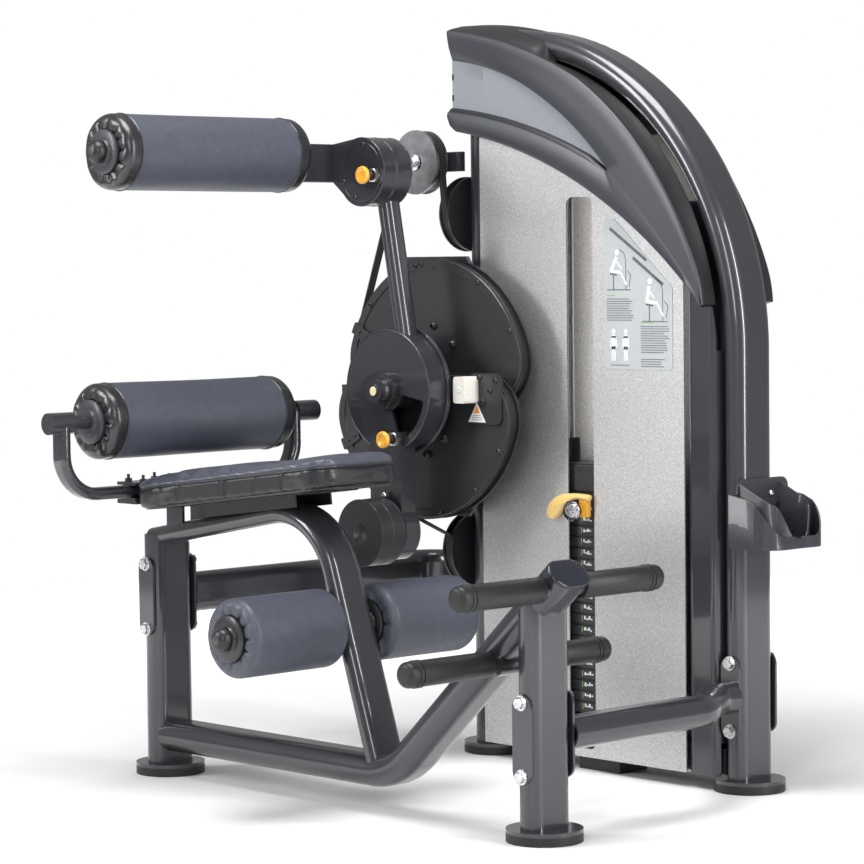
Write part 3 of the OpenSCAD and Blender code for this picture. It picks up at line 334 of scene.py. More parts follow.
# Only the camera sees the dome.
bm = bmesh.new()
bmesh.ops.create_icosphere(bm, subdivisions=4, radius=DOME_R)
dome = new_object("studio_dome", bm)
dome.data.materials.append(Shader("studio_white", (0, 0, 0), Specular_IOR_Level=0, Emission_Color=(1, 1, 1, 1),
                                  Emission_Strength=1).mat)
dome.visible_diffuse = False
dome.visible_glossy = False
dome.visible_transmission = False
dome.visible_shadow = False


# ---- Mesh helpers ----

AXES = {"x": Matrix.Rotation(math.pi / 2, 3, "Y"), "y": Matrix.Rotation(-math.pi / 2, 3, "X"),
        "z": Matrix.Identity(3)}


def mm(*points):
    """Points in metres, from points in millimetres."""
    return [tuple(c / 1000 for c in p) for p in points]


def ease(t):
    t = max(0.0, min(1.0, t))
    return t * t * (3 - 2 * t)


def finish_piece(obj, body, slot, mats, bevel=0.0, sharp=40):
    """Gives a piece its materials, smooth shading, bevelled or sharp edges and body. The slot argument is not used."""
    for key in mats:
        obj.data.materials.append(M[key])
    obj.data.polygons.foreach_set("use_smooth", [True] * len(obj.data.polygons))
    if bevel:
        made = obj.modifiers.new("edges", "BEVEL")
        made.width = bevel
        made.segments = 2
        made.limit_method = "ANGLE"
        made.angle_limit = math.radians(35)
        made.harden_normals = True
    else:
        obj.data.set_sharp_from_angle(angle=math.radians(sharp))
    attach(obj, body)


def from_bm(name, bm, body, slot, *mats, **options):
    bmesh.ops.recalc_face_normals(bm, faces=bm.faces)
    obj = new_object(name, bm)
    finish_piece(obj, body, slot, mats, **options)
    return obj


def add_lathe(bm, at, axis, profile, steps=64, wave=None, mat=0):
    """Turns (distance, radius) points about an axis through at. A minus before the axis turns it round, and
    wave(distance, radius, angle) moves the points."""
    turn = AXES[axis[-1]]
    sign = -1 if axis[0] == "-" else 1
    rings = []
    for d, r in profile:
        if r <= 1e-6:
            rings.append([bm.verts.new(Vector(at) + turn @ Vector((0, 0, sign * d)))])
            continue
        ring = []
        for i in range(steps):
            a = TAU * i / steps
            dd, rr = wave(d, r, a) if wave else (d, r)
            spot = Vector((rr * math.cos(a), rr * math.sin(a), sign * dd))
            ring.append(bm.verts.new(Vector(at) + turn @ spot))
        rings.append(ring)
    for low, high in zip(rings, rings[1:]):
        for i in range(steps):
            j = (i + 1) % steps
            corners = [low[i % len(low)], low[j % len(low)], high[j % len(high)], high[i % len(high)]]
            bm.faces.new(list(dict.fromkeys(corners))).material_index = mat


def bridge(bm, rings, mat=0, caps=False):
    """Joins closed loops of points, each to the next, and closes the two ends where caps is set."""
    loops = [[bm.verts.new(p) for p in ring] for ring in rings]
    if caps:
        for loop in (loops[0], loops[-1]):
            bm.faces.new(loop).material_index = mat
    for low, high in zip(loops, loops[1:]):
        for i in range(len(low)):
            j = (i + 1) % len(low)
            bm.faces.new((low[i], low[j], high[j], high[i])).material_index = mat


def add_prism(bm, outline, axis, d0, d1, mat=0):
    """Fills a closed outline and extrudes it along an axis; its points hold the other two coordinates in order."""
    k = "xyz".index(axis)
    bridge(bm, [[(*p[:k], d, *p[k:]) for p in outline] for d in (d0, d1)], mat, caps=True)


def add_box(bm, lo, hi, mat=0):
    add_prism(bm, [(lo[0], lo[1]), (hi[0], lo[1]), (hi[0], hi[1]), (lo[0], hi[1])], "z", lo[2], hi[2], mat)


def arc(centre, r, a0, a1, steps=12):
    """Points on an arc, angles in degrees."""
    return [(centre[0] + r * math.cos(math.radians(a0 + (a1 - a0) * i / steps)),
             centre[1] + r * math.sin(math.radians(a0 + (a1 - a0) * i / steps))) for i in range(steps + 1)]


def round_rect(x0, z0, x1, z1, r, steps=6):
    return (arc((x1 - r, z1 - r), r, 0, 90, steps) + arc((x0 + r, z1 - r), r, 90, 180, steps)
            + arc((x0 + r, z0 + r), r, 180, 270, steps) + arc((x1 - r, z0 + r), r, 270, 360, steps))


def add_hex(bm, at, axis, r, length, washer):
    """Chamfered hex head on a washer."""
    base = 0.0025
    add_lathe(bm, at, axis, [(0, 0), (0, washer), (0.002, washer), (base, washer * 0.96), (base, 0)], 24)
    top, dish = base + length, base + length * 0.93
    add_lathe(bm, at, axis, [(base, 0), (base, r), (base + length * 0.82, r), (top, r * 0.86), (top, r * 0.45),
                             (dish, r * 0.38), (dish, 0)], 6)


def add_screw(bm, at, axis, r, height, mat=0):
    """Button head with a socket."""
    add_lathe(bm, at, axis, [(0, 0), (0, r), (height * 0.45, r * 0.95), (height * 0.85, r * 0.72),
                             (height, r * 0.46), (height * 0.45, r * 0.4), (height * 0.4, 0)], 18, mat=mat)


def add_beads(bm, centre, *rows, mat=0):
    """Fine rounded edges round a disc on a Y axis, each as (y, radius, thickness)."""
    for y, r, thick in rows:
        loop = [(thick * math.sin(a), r + thick * math.cos(a)) for a in [TAU * i / 8 for i in range(9)]]
        add_lathe(bm, (centre.x, y, centre.z), "y", loop, 128, mat=mat)


def distances(line):
    """Length of a polyline up to every point."""
    out = [0.0]
    for p, q in zip(line, line[1:]):
        out.append(out[-1] + math.dist(p, q))
    return out


# ---- Rollers ----

PLEATS = 13
ROLLER_CAP_R = 0.043
ROLLER_TURN_R = 0.017
ROLLER_BORE_R = 0.0142
ROLLER_SEAM_IN = 0.034
ROLLER_STEPS = 260
ROLLER_ROWS = 26


def pleat_wave(seed, end0, end1, cap_r, full_r):
    """Gathered vinyl near each end: sharp creases that run out towards the full radius, with puffs between."""
    draw = random.Random(seed)
    creases = [[(TAU * (k + draw.uniform(-0.22, 0.22)) / PLEATS, draw.uniform(0.55, 1.25)) for k in range(PLEATS)]
               for _ in range(2)]
    lumps = [(draw.uniform(0, TAU), draw.randint(2, 5), draw.uniform(0.3, 1.0)) for _ in range(5)]

    def wave(d, r, a):
        side, out = (0, -1) if d - end0 < end1 - d else (1, 1)
        near = max(0.0, min(1.0, (full_r - r) / (full_r - cap_r)))
        pull = 0.0
        for at, depth in creases[side]:
            gap = abs((a - at + math.pi) % TAU - math.pi) * r
            pull += depth * math.exp(-(gap / (0.0022 + 0.004 * (1 - near))) ** 2)
        puff = 0.0012 * near * math.sin(a * PLEATS / 2) ** 2
        slack = 0.00045 * sum(w * math.sin(k * a + p + 14 * d) for p, k, w in lumps)
        reach = near ** 1.5
        return d + out * (puff - 0.0048 * pull * reach), r + slack * (1 - 0.5 * near) - 0.0016 * pull * reach

    return wave


def roller(name, node, caps, body, seamed, seed):
    """Padded roller and its end caps. A seamed roller has darker, glossy ends beyond a sewn seam."""
    lo, hi = lo_hi(node)
    mid = (lo + hi) / 2
    full = (hi.z - lo.z) / 2 + 0.0006
    half = (hi.y - lo.y) / 2
    outer = [(half - 0.0085, ROLLER_CAP_R - 0.006), (half - 0.0035, ROLLER_CAP_R),
             (half - 0.0008, ROLLER_CAP_R + 0.0012), (half - 0.0001, full - ROLLER_TURN_R + 0.0004)]
    outer += [(half - ROLLER_TURN_R * (1 - math.sin(a)), full - ROLLER_TURN_R * (1 - math.cos(a)))
              for a in [math.radians(10 * i) for i in range(8, -1, -1)]]
    seam = half - ROLLER_SEAM_IN
    ends = outer + [(half - ROLLER_TURN_R - 0.006, full), (seam, full)]
    rows = [(seam * (2 * i / ROLLER_ROWS - 1), full) for i in range(ROLLER_ROWS + 1)]
    bm = bmesh.new()
    wave = pleat_wave(seed, -half, half, ROLLER_CAP_R, full - 0.002)
    for profile, mat in (([(-d, r) for d, r in ends], seamed), (rows, False), (ends[::-1], seamed)):
        add_lathe(bm, mid, "y", profile, ROLLER_STEPS, wave, int(mat))
    if seamed:
        add_beads(bm, mid, *[(mid.y + side * seam, full + 0.0003, 0.0016) for side in (-1, 1)], mat=1)
    bmesh.ops.remove_doubles(bm, verts=bm.verts, dist=0.00002)
    pad = from_bm(name, bm, body, "vinyl", "vinyl", "vinyl_gloss")
    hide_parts(node)

    caps_lo, caps_hi = lo_hi(caps)
    face = half + 0.0015
    bm = bmesh.new()
    for axis, end in (("-y", mid.y - caps_lo.y), ("y", caps_hi.y - mid.y)):
        add_lathe(bm, mid, axis, [(face - 0.012, ROLLER_BORE_R), (face - 0.012, ROLLER_CAP_R - 0.004),
                                  (face - 0.004, ROLLER_CAP_R - 0.001), (face, ROLLER_CAP_R),
                                  (face + 0.0035, ROLLER_CAP_R), (face + 0.0055, ROLLER_CAP_R - 0.0025),
                                  (face + 0.0055, 0.026), (face + 0.0075, 0.024), (end, 0.023),
                                  (end, ROLLER_BORE_R)], 72)
    add_lathe(bm, mid, "y", [(0.01 - half, ROLLER_BORE_R + 0.003), (half - 0.01, ROLLER_BORE_R + 0.003)], 32)
    piece = from_bm(name + "_caps", bm, body, "black_plastic", "grey_cap" if seamed else "plastic")
    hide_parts(caps)


def end_boss(name, body, at, axis):
    """Rounded boss with a flat, lighter centre on an axle's end."""
    bm = bmesh.new()
    add_lathe(bm, at, axis, mm((0, 0), (0, 21.5), (6, 21.5), (11.5, 20), (16, 16), (18.2, 12), (18.6, 10.8),
                               (18, 10.2), (17.6, 0)), 48)
    add_lathe(bm, at, axis, mm((17.2, 0), (17.2, 10), (18.5, 9.8), (18.9, 8.8), (19, 0)), 40, mat=1)
    from_bm(name, bm, body, "frame_paint", "lip", "grey_cap")


for part, seamed, seed in (("chest", True, 3), ("lumbar", True, 5), ("left_leg", False, 8), ("right_leg", False, 11)):
    roller(part + "_roller_vinyl", part + "_pad", part + "_caps", part + "_roller", seamed, seed)

BOSS_IN = 0.012
chest, leg = middle("chest_pad"), middle("leg_axle")
leg_lo, leg_hi = lo_hi("leg_axle")
end_boss("chest_axle_boss", "pad_bracket_body", (chest.x, lo_hi("pad_bracket")[0].y + BOSS_IN, chest.z), "-y")
end_boss("left_leg_axle_boss", "root", (leg.x, leg_lo.y + BOSS_IN, leg.z), "-y")
end_boss("right_leg_axle_boss", "root", (leg.x, leg_hi.y - BOSS_IN, leg.z), "y")


# ---- Swing arm, drum and lock pins ----

HUB_DISC_R = 0.123
DRUM_R = 0.069
DRUM_DEPTH = 0.034
DRUM_SCREW_R = 0.055
arm_lo, arm_hi = lo_hi("swing_arm")
hub_front_y = arm_lo.y + 0.016
drum_front_y = lo_hi("pad_bracket")[1].y - DRUM_DEPTH
boss_y = lo_hi("main_shaft")[0].y

bm = bmesh.new()
add_beads(bm, HUB, (hub_front_y + 0.0008, HUB_DISC_R - 0.0011, 0.0015),
          (arm_hi.y - 0.0055, HUB_DISC_R + 0.0056, 0.0012), (arm_hi.y - 0.0005, HUB_DISC_R + 0.0052, 0.0014))
from_bm("hub_disc_edges", bm, "arm", "frame_paint", "frame")

bm = bmesh.new()
add_lathe(bm, (HUB.x, boss_y, HUB.z), "y",
          mm((4, 0), (4, 9.8), (1, 10.2), (0.4, 11), (0.4, 13.2), (1.6, 15.2), (3, 16), (10, 20.2), (11.2, 21.6),
             (11.6, 23.2), (13.2, 24.2), (20.5, 24.6), (21.5, 25.2), (21.5, 20)), 80)
from_bm("hub_boss_cap", bm, "root", "black_plastic", "lip")
bm = bmesh.new()
add_lathe(bm, (HUB.x, boss_y - 0.0006, HUB.z), "y", mm((4.2, 10), (1.2, 10), (0.2, 9), (0, 0)), 48)
from_bm("hub_boss_dot", bm, "root", "amber_plastic", "dot")


def pull_knob(name, node, body, holder, knob_r, face_y):
    """Amber pull knob with a dished face on its pin; the nut that it slides through stays on the holder."""
    lo, hi = lo_hi(node)
    at = Vector(((lo.x + hi.x) / 2, lo.y, (lo.z + hi.z) / 2))
    length = hi.y - lo.y
    bm = bmesh.new()
    add_lathe(bm, at, "y", [(0.0028, 0), (0.0026, knob_r * 0.42), (0.0006, knob_r * 0.62), (0, knob_r * 0.74),
                            (0.0014, knob_r * 0.93), (0.0042, knob_r), (0.0075, knob_r * 0.99),
                            (0.0105, knob_r * 0.9), (0.0125, knob_r * 0.66), (0.0125, 0)], 56)
    add_lathe(bm, at, "y", mm((12.5, 8), (25.6, 8), (26.2, 7), (26.2, 0)), 32, mat=1)
    add_lathe(bm, at, "y", [(0.0262, 0.0048), (length - 0.002, 0.0048), (length, 0.003), (length, 0)], 24, mat=2)
    piece = from_bm(name, bm, body, "amber_plastic", "amber", "plastic", "zinc")
    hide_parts(node)
    bore, chamfer = 0.0104, 0.0006
    bm = bmesh.new()
    for r, d0, d1, steps, mat in ((0.015, 0.03, 0.04, 6, 1), (0.0118, 0.0402, face_y - at.y + chamfer, 32, 0)):
        if d1 > d0:
            add_lathe(bm, at, "y", [(d0, bore), (d0, r * 0.9), (d0 + chamfer, r), (d1 - chamfer, r), (d1, r * 0.9),
                                    (d1, bore), (d0, bore)], steps, mat=mat)
    from_bm(name + "_nut", bm, holder, "zinc_steel", "plastic", "zinc")


pull_knob("start_knob", "start_pin", "start_pin_body", "arm", 0.0172, hub_front_y)
pull_knob("tilt_knob", "tilt_pin", "tilt_pin_body", "pad_bracket_body", 0.018, drum_front_y)

bm = bmesh.new()
edge = (DRUM_R - 0.0007, 0.0013)
add_beads(bm, DRUM, (drum_front_y + 0.001, *edge), (drum_front_y + 0.0335, *edge),
          (drum_front_y - 0.0002, DRUM_R - 0.01, 0.0007))
for x, z in [arc((DRUM.x, DRUM.z), DRUM_SCREW_R, a, a, 1)[0] for a in (82, 200, 250)]:
    add_screw(bm, (x, drum_front_y, z), "-y", 0.0052, 0.0035, 1)
from_bm("drum_front_edges", bm, "pad_bracket_body", "frame_paint", "frame", "plastic")
bm = bmesh.new()
add_beads(bm, DRUM, (drum_front_y + 0.0365, *edge), (drum_front_y + 0.0755, *edge))
from_bm("drum_back_edges", bm, "arm", "frame_paint", "frame")

# Scale strip with amber marks, seen through the hub disc's window; it turns with the cams.
SCALE_R = 0.1035
hub_xz = (HUB.x, HUB.z)
scale_y = hub_front_y + 0.0564
bm = bmesh.new()
strip = arc(hub_xz, 0.1125, -62, -16, 24) + arc(hub_xz, 0.093, -16, -62, 24)
add_prism(bm, strip, "y", scale_y - 0.0004, scale_y + 0.0006)
for k, a in enumerate(range(-58, -19, 6)):
    size = 0.0065 if k % 2 else 0.0095
    tick = arc(hub_xz, SCALE_R + size / 2, a - 1.1, a + 1.1, 3) + arc(hub_xz, SCALE_R - size / 2, a + 1.1, a - 1.1, 3)
    add_prism(bm, tick, "y", scale_y - 0.0008, scale_y - 0.0003, 1)
from_bm("start_scale", bm, "cam", "satin_black_paint", "ink", "amber")

# The counterweight's edges and its centre disc, with a screw above.
cw_lo, cw_hi = lo_hi("counterweight")
cw = (cw_lo + cw_hi) / 2
cw_r = (cw_hi.x - cw_lo.x) / 2
bm = bmesh.new()
add_beads(bm, cw, *[(y, cw_r - 0.0008, 0.0012)
                    for y in (cw_lo.y + 0.001, cw.y - 0.0012, cw.y + 0.0012, cw_hi.y - 0.001)])
add_lathe(bm, (cw.x, cw_lo.y, cw.z), "y", mm((-1.2, 0), (-1.2, 19), (0, 20.5)), 40)
add_screw(bm, (cw.x + 0.004, cw_hi.y, cw.z + cw_r + 0.006), "-y", 0.006, 0.004, 1)
from_bm("counterweight_edges", bm, "arm", "satin_black_paint", "cam", "zinc")


# ---- Cams ----

CAM_R = 0.266
CAM_DEPTH = 0.030
CORNER_R = 0.090
CORNER_AT = (0.166, 0.058)
RIM_BAND = mm((1.5, 0.4), (2.2, 0), (3, -0.4), (4.5, -2.8), (19.5, -2.8), (21, -0.4), (22.5, 0.4))


def lobe_outline(inset, up):
    """Closed outline of one lobe about the hub, drawn in by the inset."""
    split = math.degrees(math.atan2(CORNER_AT[1], CORNER_AT[0]))
    small = CORNER_R - inset
    right_corner = arc(CORNER_AT, small, -90, split, 16)
    top = arc((0, 0), CAM_R - inset, split, 180 - split, 60)
    left_corner = arc((-CORNER_AT[0], CORNER_AT[1]), small, 180 - split, 270, 16)
    return [(HUB.x + x, HUB.z + up * z) for x, z in right_corner + top[1:-1] + left_corner]


def cam_dressing(name, node, up, screws, bolts):
    """Raised rim band with its screws, and the bolts, on a lobe's front face."""
    y = lo_hi(node)[1].y - CAM_DEPTH
    bm = bmesh.new()
    bridge(bm, [[(x, y + depth, z) for x, z in lobe_outline(inset, up)] for inset, depth in RIM_BAND])
    for x, z in [arc(hub_xz, CAM_R - 0.012, a, a, 1)[0] for a in screws]:
        add_screw(bm, (x, y - 0.0028, z), "-y", 0.0055, 0.004, 1)
    for x, z in bolts:
        add_screw(bm, (HUB.x + x, y, HUB.z + z), "-y", 0.0085, 0.0085, 1)
    from_bm(name, bm, "cam", "satin_black_paint", "cam", "plastic")


cam_dressing("upper_cam_rim", "upper_cam", 1, (28, 58, 97, 101, 138), ((0.003, 0.127), (0.058, 0.09)))
cam_dressing("lower_cam_rim", "lower_cam", -1, (-28, -52, -78, -110, -140), ((0.068, -0.1), (0.014, -0.134)))


def belt_clip(name, node, angle, out=CAM_R):
    """Folded strap that holds the belt's end over the rim."""
    a = math.radians(angle)
    side, along = Vector((math.cos(a), 0, math.sin(a))), Vector((-math.sin(a), 0, math.cos(a)))
    centre = Vector((HUB.x, lo_hi(node)[1].y - CAM_DEPTH, HUB.z)) + side * out
    half = 0.012
    bm = bmesh.new()
    for r0, r1, y1 in ((-0.052, 0.003, -0.0025), (0.0008, 0.0034, 0.032)):
        bridge(bm, [[centre + side * r + along * s * half + Vector((0, y, 0))
                     for r, s in ((r0, -1), (r1, -1), (r1, 1), (r0, 1))] for y in (-0.0055, y1)], caps=True)
    for r in (-0.040, -0.018):
        add_screw(bm, centre + side * r + Vector((0, -0.0055, 0)), "-y", 0.0042, 0.003, 1)
    from_bm(name, bm, "cam", "satin_black_paint", "cam", "plastic", bevel=0.0008)


belt_clip("upper_belt_clip", "upper_cam", 153)
belt_clip("lower_belt_latch", "lower_cam", 182, 0.236)
belt_clip("lower_belt_clip", "lower_cam", 207)

# Bridge plate between the lobes, with a plain triangle mark, and the white stop bumper.
lower_cam_y = lo_hi("lower_cam")[0].y
bridge_y = lower_cam_y - 0.0052
bm = bmesh.new()
add_prism(bm, round_rect(HUB.x + 0.139, HUB.z - 0.067, HUB.x + 0.237, HUB.z + 0.035, 0.015), "y",
          bridge_y - 0.0012, bridge_y + 0.001)
for x, z in ((0.221, 0.021), (0.205, 0.0), (0.186, -0.022), (0.176, 0.026)):
    add_screw(bm, (HUB.x + x, bridge_y - 0.0012, HUB.z + z), "-y", 0.006, 0.0045, 1)
mark = Vector((HUB.x + 0.168, HUB.z - 0.063))
for wide, low, high, lift, mat in ((0.025, 0.0, 0.039, 0.0016, 2), (0.0095, 0.018, 0.0335, 0.0019, 3)):
    add_prism(bm, [(mark.x - wide, mark.y + low), (mark.x + wide, mark.y + low), (mark.x, mark.y + high)], "y",
              bridge_y - lift, bridge_y - 0.001, mat)
for k in range(3):
    z = mark.y + 0.0135 - 0.0042 * k
    wide = 0.0105 + 0.002 * k
    add_box(bm, (mark.x - wide, bridge_y - 0.0019, z - 0.0005), (mark.x + wide, bridge_y - 0.0015, z + 0.0005), 4)
from_bm("bridge_plate_face", bm, "cam", "satin_black_paint", "cam", "plastic", "white", "orange",
        "ink")

BUMPER_OUT = 0.0448
bm = bmesh.new()
add_prism(bm, round_rect(HUB.x + 0.1395, HUB.z - 0.0245, HUB.x + 0.1725, HUB.z + 0.0285, 0.006), "y",
          lower_cam_y - BUMPER_OUT, lower_cam_y - 0.004)
add_screw(bm, (HUB.x + 0.156, lower_cam_y - BUMPER_OUT, HUB.z + 0.002), "-y", 0.0065, 0.0012)
from_bm("stop_bumper", bm, "cam", "satin_black_paint", "nylon", bevel=0.0016)


# ---- Seat ----

SEAT_LEN = 0.500
SEAT_HALF_REAR = 0.165
SEAT_HALF_FRONT = 0.108
SEAT_CORNER = 0.055
SEAT_THICK = 0.055
SEAT_TILT = math.radians(7)
SEAM_Z = 0.040
CHANNELS = (0.082, 0.136, 0.190, 0.244)
seat_lo, seat_hi = lo_hi("seat_pad")
place = (Matrix.Translation((seat_lo.x + 0.0049, (seat_lo.y + seat_hi.y) / 2, seat_lo.z))
         @ Matrix.Rotation(-SEAT_TILT, 4, "Y"))


def seat_outline(shrink, steps=10):
    """Outline seen from above, x forwards from the rear edge."""
    r = SEAT_CORNER - shrink
    x0, x1 = SEAT_CORNER, SEAT_LEN - SEAT_CORNER
    y0, y1 = SEAT_HALF_REAR - SEAT_CORNER, SEAT_HALF_FRONT - SEAT_CORNER
    a = math.degrees(math.atan2(y0 - y1, x1 - x0))
    return (arc((x1, y1), r, 0, 90 - a, steps) + arc((x0, y0), r, 90 - a, 180, steps)
            + arc((x0, -y0), r, 180, 270 + a, steps) + arc((x1, -y1), r, 270 + a, 360, steps))


def applied(obj, kind, **settings):
    """Adds a modifier, sets it and applies it."""
    made = obj.modifiers.new(kind.lower(), kind)
    for key, value in settings.items():
        setattr(made, key, value)
    bpy.context.view_layer.objects.active = obj
    bpy.ops.object.modifier_apply(modifier=made.name)


def inflate(obj, cap, pressure=4.0):
    """Runs the cloth simulation on a closed form, with no point moved further than the cap."""
    before = [v.co.copy() for v in obj.data.vertices]
    made = obj.modifiers.new("fill", "CLOTH")
    made.settings.use_pressure = True
    made.settings.uniform_pressure_force = pressure
    made.settings.effector_weights.gravity = 0.0
    made.settings.quality = 5
    made.settings.tension_stiffness = 30
    made.settings.compression_stiffness = 30
    for step in range(1, 21):
        bpy.context.scene.frame_set(step)
    seen = obj.evaluated_get(bpy.context.evaluated_depsgraph_get())
    after = [v.co.copy() for v in seen.data.vertices]
    obj.modifiers.remove(made)
    bpy.context.scene.frame_set(1)
    for v, p, q in zip(obj.data.vertices, before, after):
        move = q - p
        if move.length > cap:
            move *= cap / move.length
        v.co = p + move


bm = bmesh.new()
add_prism(bm, seat_outline(0.0065), "z", 0.003, SEAT_THICK - 0.003)
bmesh.ops.recalc_face_normals(bm, faces=bm.faces)
seat = new_object("seat_cushion", bm)
applied(seat, "REMESH", mode="VOXEL", voxel_size=0.005)
inflate(seat, 0.007)
applied(seat, "SUBSURF", levels=1)

# The filled form is brought back to the outline, so the piping lies on it.
points = seat.data.vertices
end0, end1 = min(v.co.x for v in points), max(v.co.x for v in points)
wide = max(v.co.y for v in points)
for v in points:
    v.co.x = 0.0008 + (SEAT_LEN - 0.0016) * (v.co.x - end0) / (end1 - end0)
    v.co.y *= (SEAT_HALF_REAR - 0.0008) / wide

# Crown and dip, sewn channels, folds on the sides, and the seam pulled in.
draw = random.Random(21)
folds = [(draw.uniform(0.03, 0.47), draw.choice((-1, 1)), draw.uniform(0.4, 1.0), draw.uniform(0.004, 0.009))
         for _ in range(16)]
for v in points:
    x, y, z = v.co
    u = min(1.0, abs(y) / 0.16)
    top = ease((z - SEAM_Z + 0.004) / 0.012)
    edge_y = SEAT_HALF_REAR - (SEAT_HALF_REAR - SEAT_HALF_FRONT) * x / SEAT_LEN
    inner = 1 - ease((abs(y) - edge_y + 0.026) / 0.024)
    z += top * (0.0065 * (1 - u * u) - 0.0042 * math.sin(max(0.0, min(1.0, x / SEAT_LEN)) * math.pi))
    for c in CHANNELS:
        gap = abs(x - c - 0.022 * u * u)
        z += top * inner * (0.004 * math.exp(-((gap - 0.027) / 0.016) ** 2)
                            - 0.0062 * math.exp(-(gap / 0.0048) ** 2))
    z = max(z, 0.0005)
    side = (1 - top) * ease(z / 0.01)
    for at, hand, depth, width in folds:
        if y * hand > 0.05:
            y -= hand * side * depth * 0.0022 * math.exp(-((x - at) / width) ** 2)
    pull = 0.0032 * math.exp(-((z - SEAM_Z) / 0.0022) ** 2)
    out = Vector((x - 0.25, y * 1.4, 0)).normalized()
    v.co = Vector((x, y, z)) - out * pull * (1 if z < SEAT_THICK - 0.004 else 0)
for poly in seat.data.polygons:
    z = poly.center.z
    poly.material_index = 0 if z > SEAM_Z - 0.0004 else (2 if poly.normal.z < -0.8 and z < 0.006 else 1)
seat.data.transform(place)
finish_piece(seat, "root", "vinyl", ["seat_top", "seat_side", "plastic"])
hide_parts("seat_pad")


def ring_cord(name, outline, z, r, mat):
    """Piping that follows an outline on the seat."""
    curve = bpy.data.curves.new(name, "CURVE")
    curve.dimensions = "3D"
    spline = curve.splines.new("POLY")
    spline.points.add(len(outline) - 1)
    for point, (x, y) in zip(spline.points, outline):
        point.co = (*(place @ Vector((x, y, z))), 1)
    spline.use_cyclic_u = True
    curve.bevel_depth = r
    curve.bevel_resolution = 3
    obj = bpy.data.objects.new(name, curve)
    bpy.context.collection.objects.link(obj)
    obj.data.materials.append(M[mat])
    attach(obj, "root")


ring_cord("seat_piping", seat_outline(0.0022, 24), SEAM_Z, 0.0013, "vinyl_gloss")
ring_cord("seat_base_edge", seat_outline(0.01, 24), 0.0012, 0.0022, "plastic")


# ---- Shroud ----

def arc_through(p, q, r, steps=40):
    """Points along the circle through three points, from the first to the last."""
    ax, az, bx, bz, cx, cz = *p, *q, *r
    d = 2 * (ax * (bz - cz) + bx * (cz - az) + cx * (az - bz))
    pp, qq, rr = ax * ax + az * az, bx * bx + bz * bz, cx * cx + cz * cz
    ux = (pp * (bz - cz) + qq * (cz - az) + rr * (az - bz)) / d
    uz = (pp * (cx - bx) + qq * (ax - cx) + rr * (bx - ax)) / d
    a0 = math.atan2(az - uz, ax - ux)
    a1 = math.atan2(cz - uz, cx - ux)
    if a1 - a0 > math.pi:
        a1 -= TAU
    if a0 - a1 > math.pi:
        a1 += TAU
    return arc((ux, uz), math.hypot(ax - ux, az - uz), math.degrees(a0), math.degrees(a1), steps)


def at_part(line, s):
    """Point at the share s of a polyline's length."""
    lengths = distances(line)
    want = max(0.0, min(1.0, s)) * lengths[-1]
    for k in range(len(line) - 1):
        if lengths[k + 1] >= want - 1e-12:
            t = (want - lengths[k]) / max(lengths[k + 1] - lengths[k], 1e-12)
            return Vector(line[k]) + t * (Vector(line[k + 1]) - Vector(line[k]))
    return Vector(line[-1])


shroud_lo, shroud_hi = lo_hi("front_shroud")
rear_shroud_y = lo_hi("rear_shroud")[1].y
SX = shroud_lo.x
ARCH = Vector((shroud_hi.x - 0.5822, 0.840))
ARCH_INNER_R = 0.5888
RECESS_TIP = Vector((SX + 0.4465, 1.190))
COLUMNS = 150
TIP_AT = 0.665
MEET = 0.60

# Lines on the shroud's face, as (x, z): its upper rim, lower edge, the recess's two edges, and the ridge on top.
rim_line = (arc_through((SX, 1.485), (SX + 0.21, 1.437), (SX + 0.364, 1.3705))
            + arc_through((SX + 0.364, 1.3705), (SX + 0.545, 1.215), (SX + 0.674, 0.999))[1:]
            + arc_through((SX + 0.674, 0.999), (SX + 0.685, 0.964), (SX + 0.69, 0.927), 6)[1:])
low_line = [(SX, 1.301), (SX + 0.005, 1.29)] + arc_through((SX + 0.019, 1.279), (SX + 0.35, 1.172),
                                                           (SX + 0.686, 0.924), 60)
recess_top = arc_through((SX, 1.427), (SX + 0.2215, 1.362), tuple(RECESS_TIP))
recess_low = arc_through((SX, 1.32), (SX + 0.2075, 1.279), (RECESS_TIP.x, RECESS_TIP.y - 0.006))
ridge_line = arc_through((SX - 0.002, 1.4995), (SX + 0.13, 1.488), (SX + 0.31, 1.442), 30)
tip_meet = at_part(rim_line, TIP_AT) * (1 - MEET) + at_part(low_line, TIP_AT) * MEET


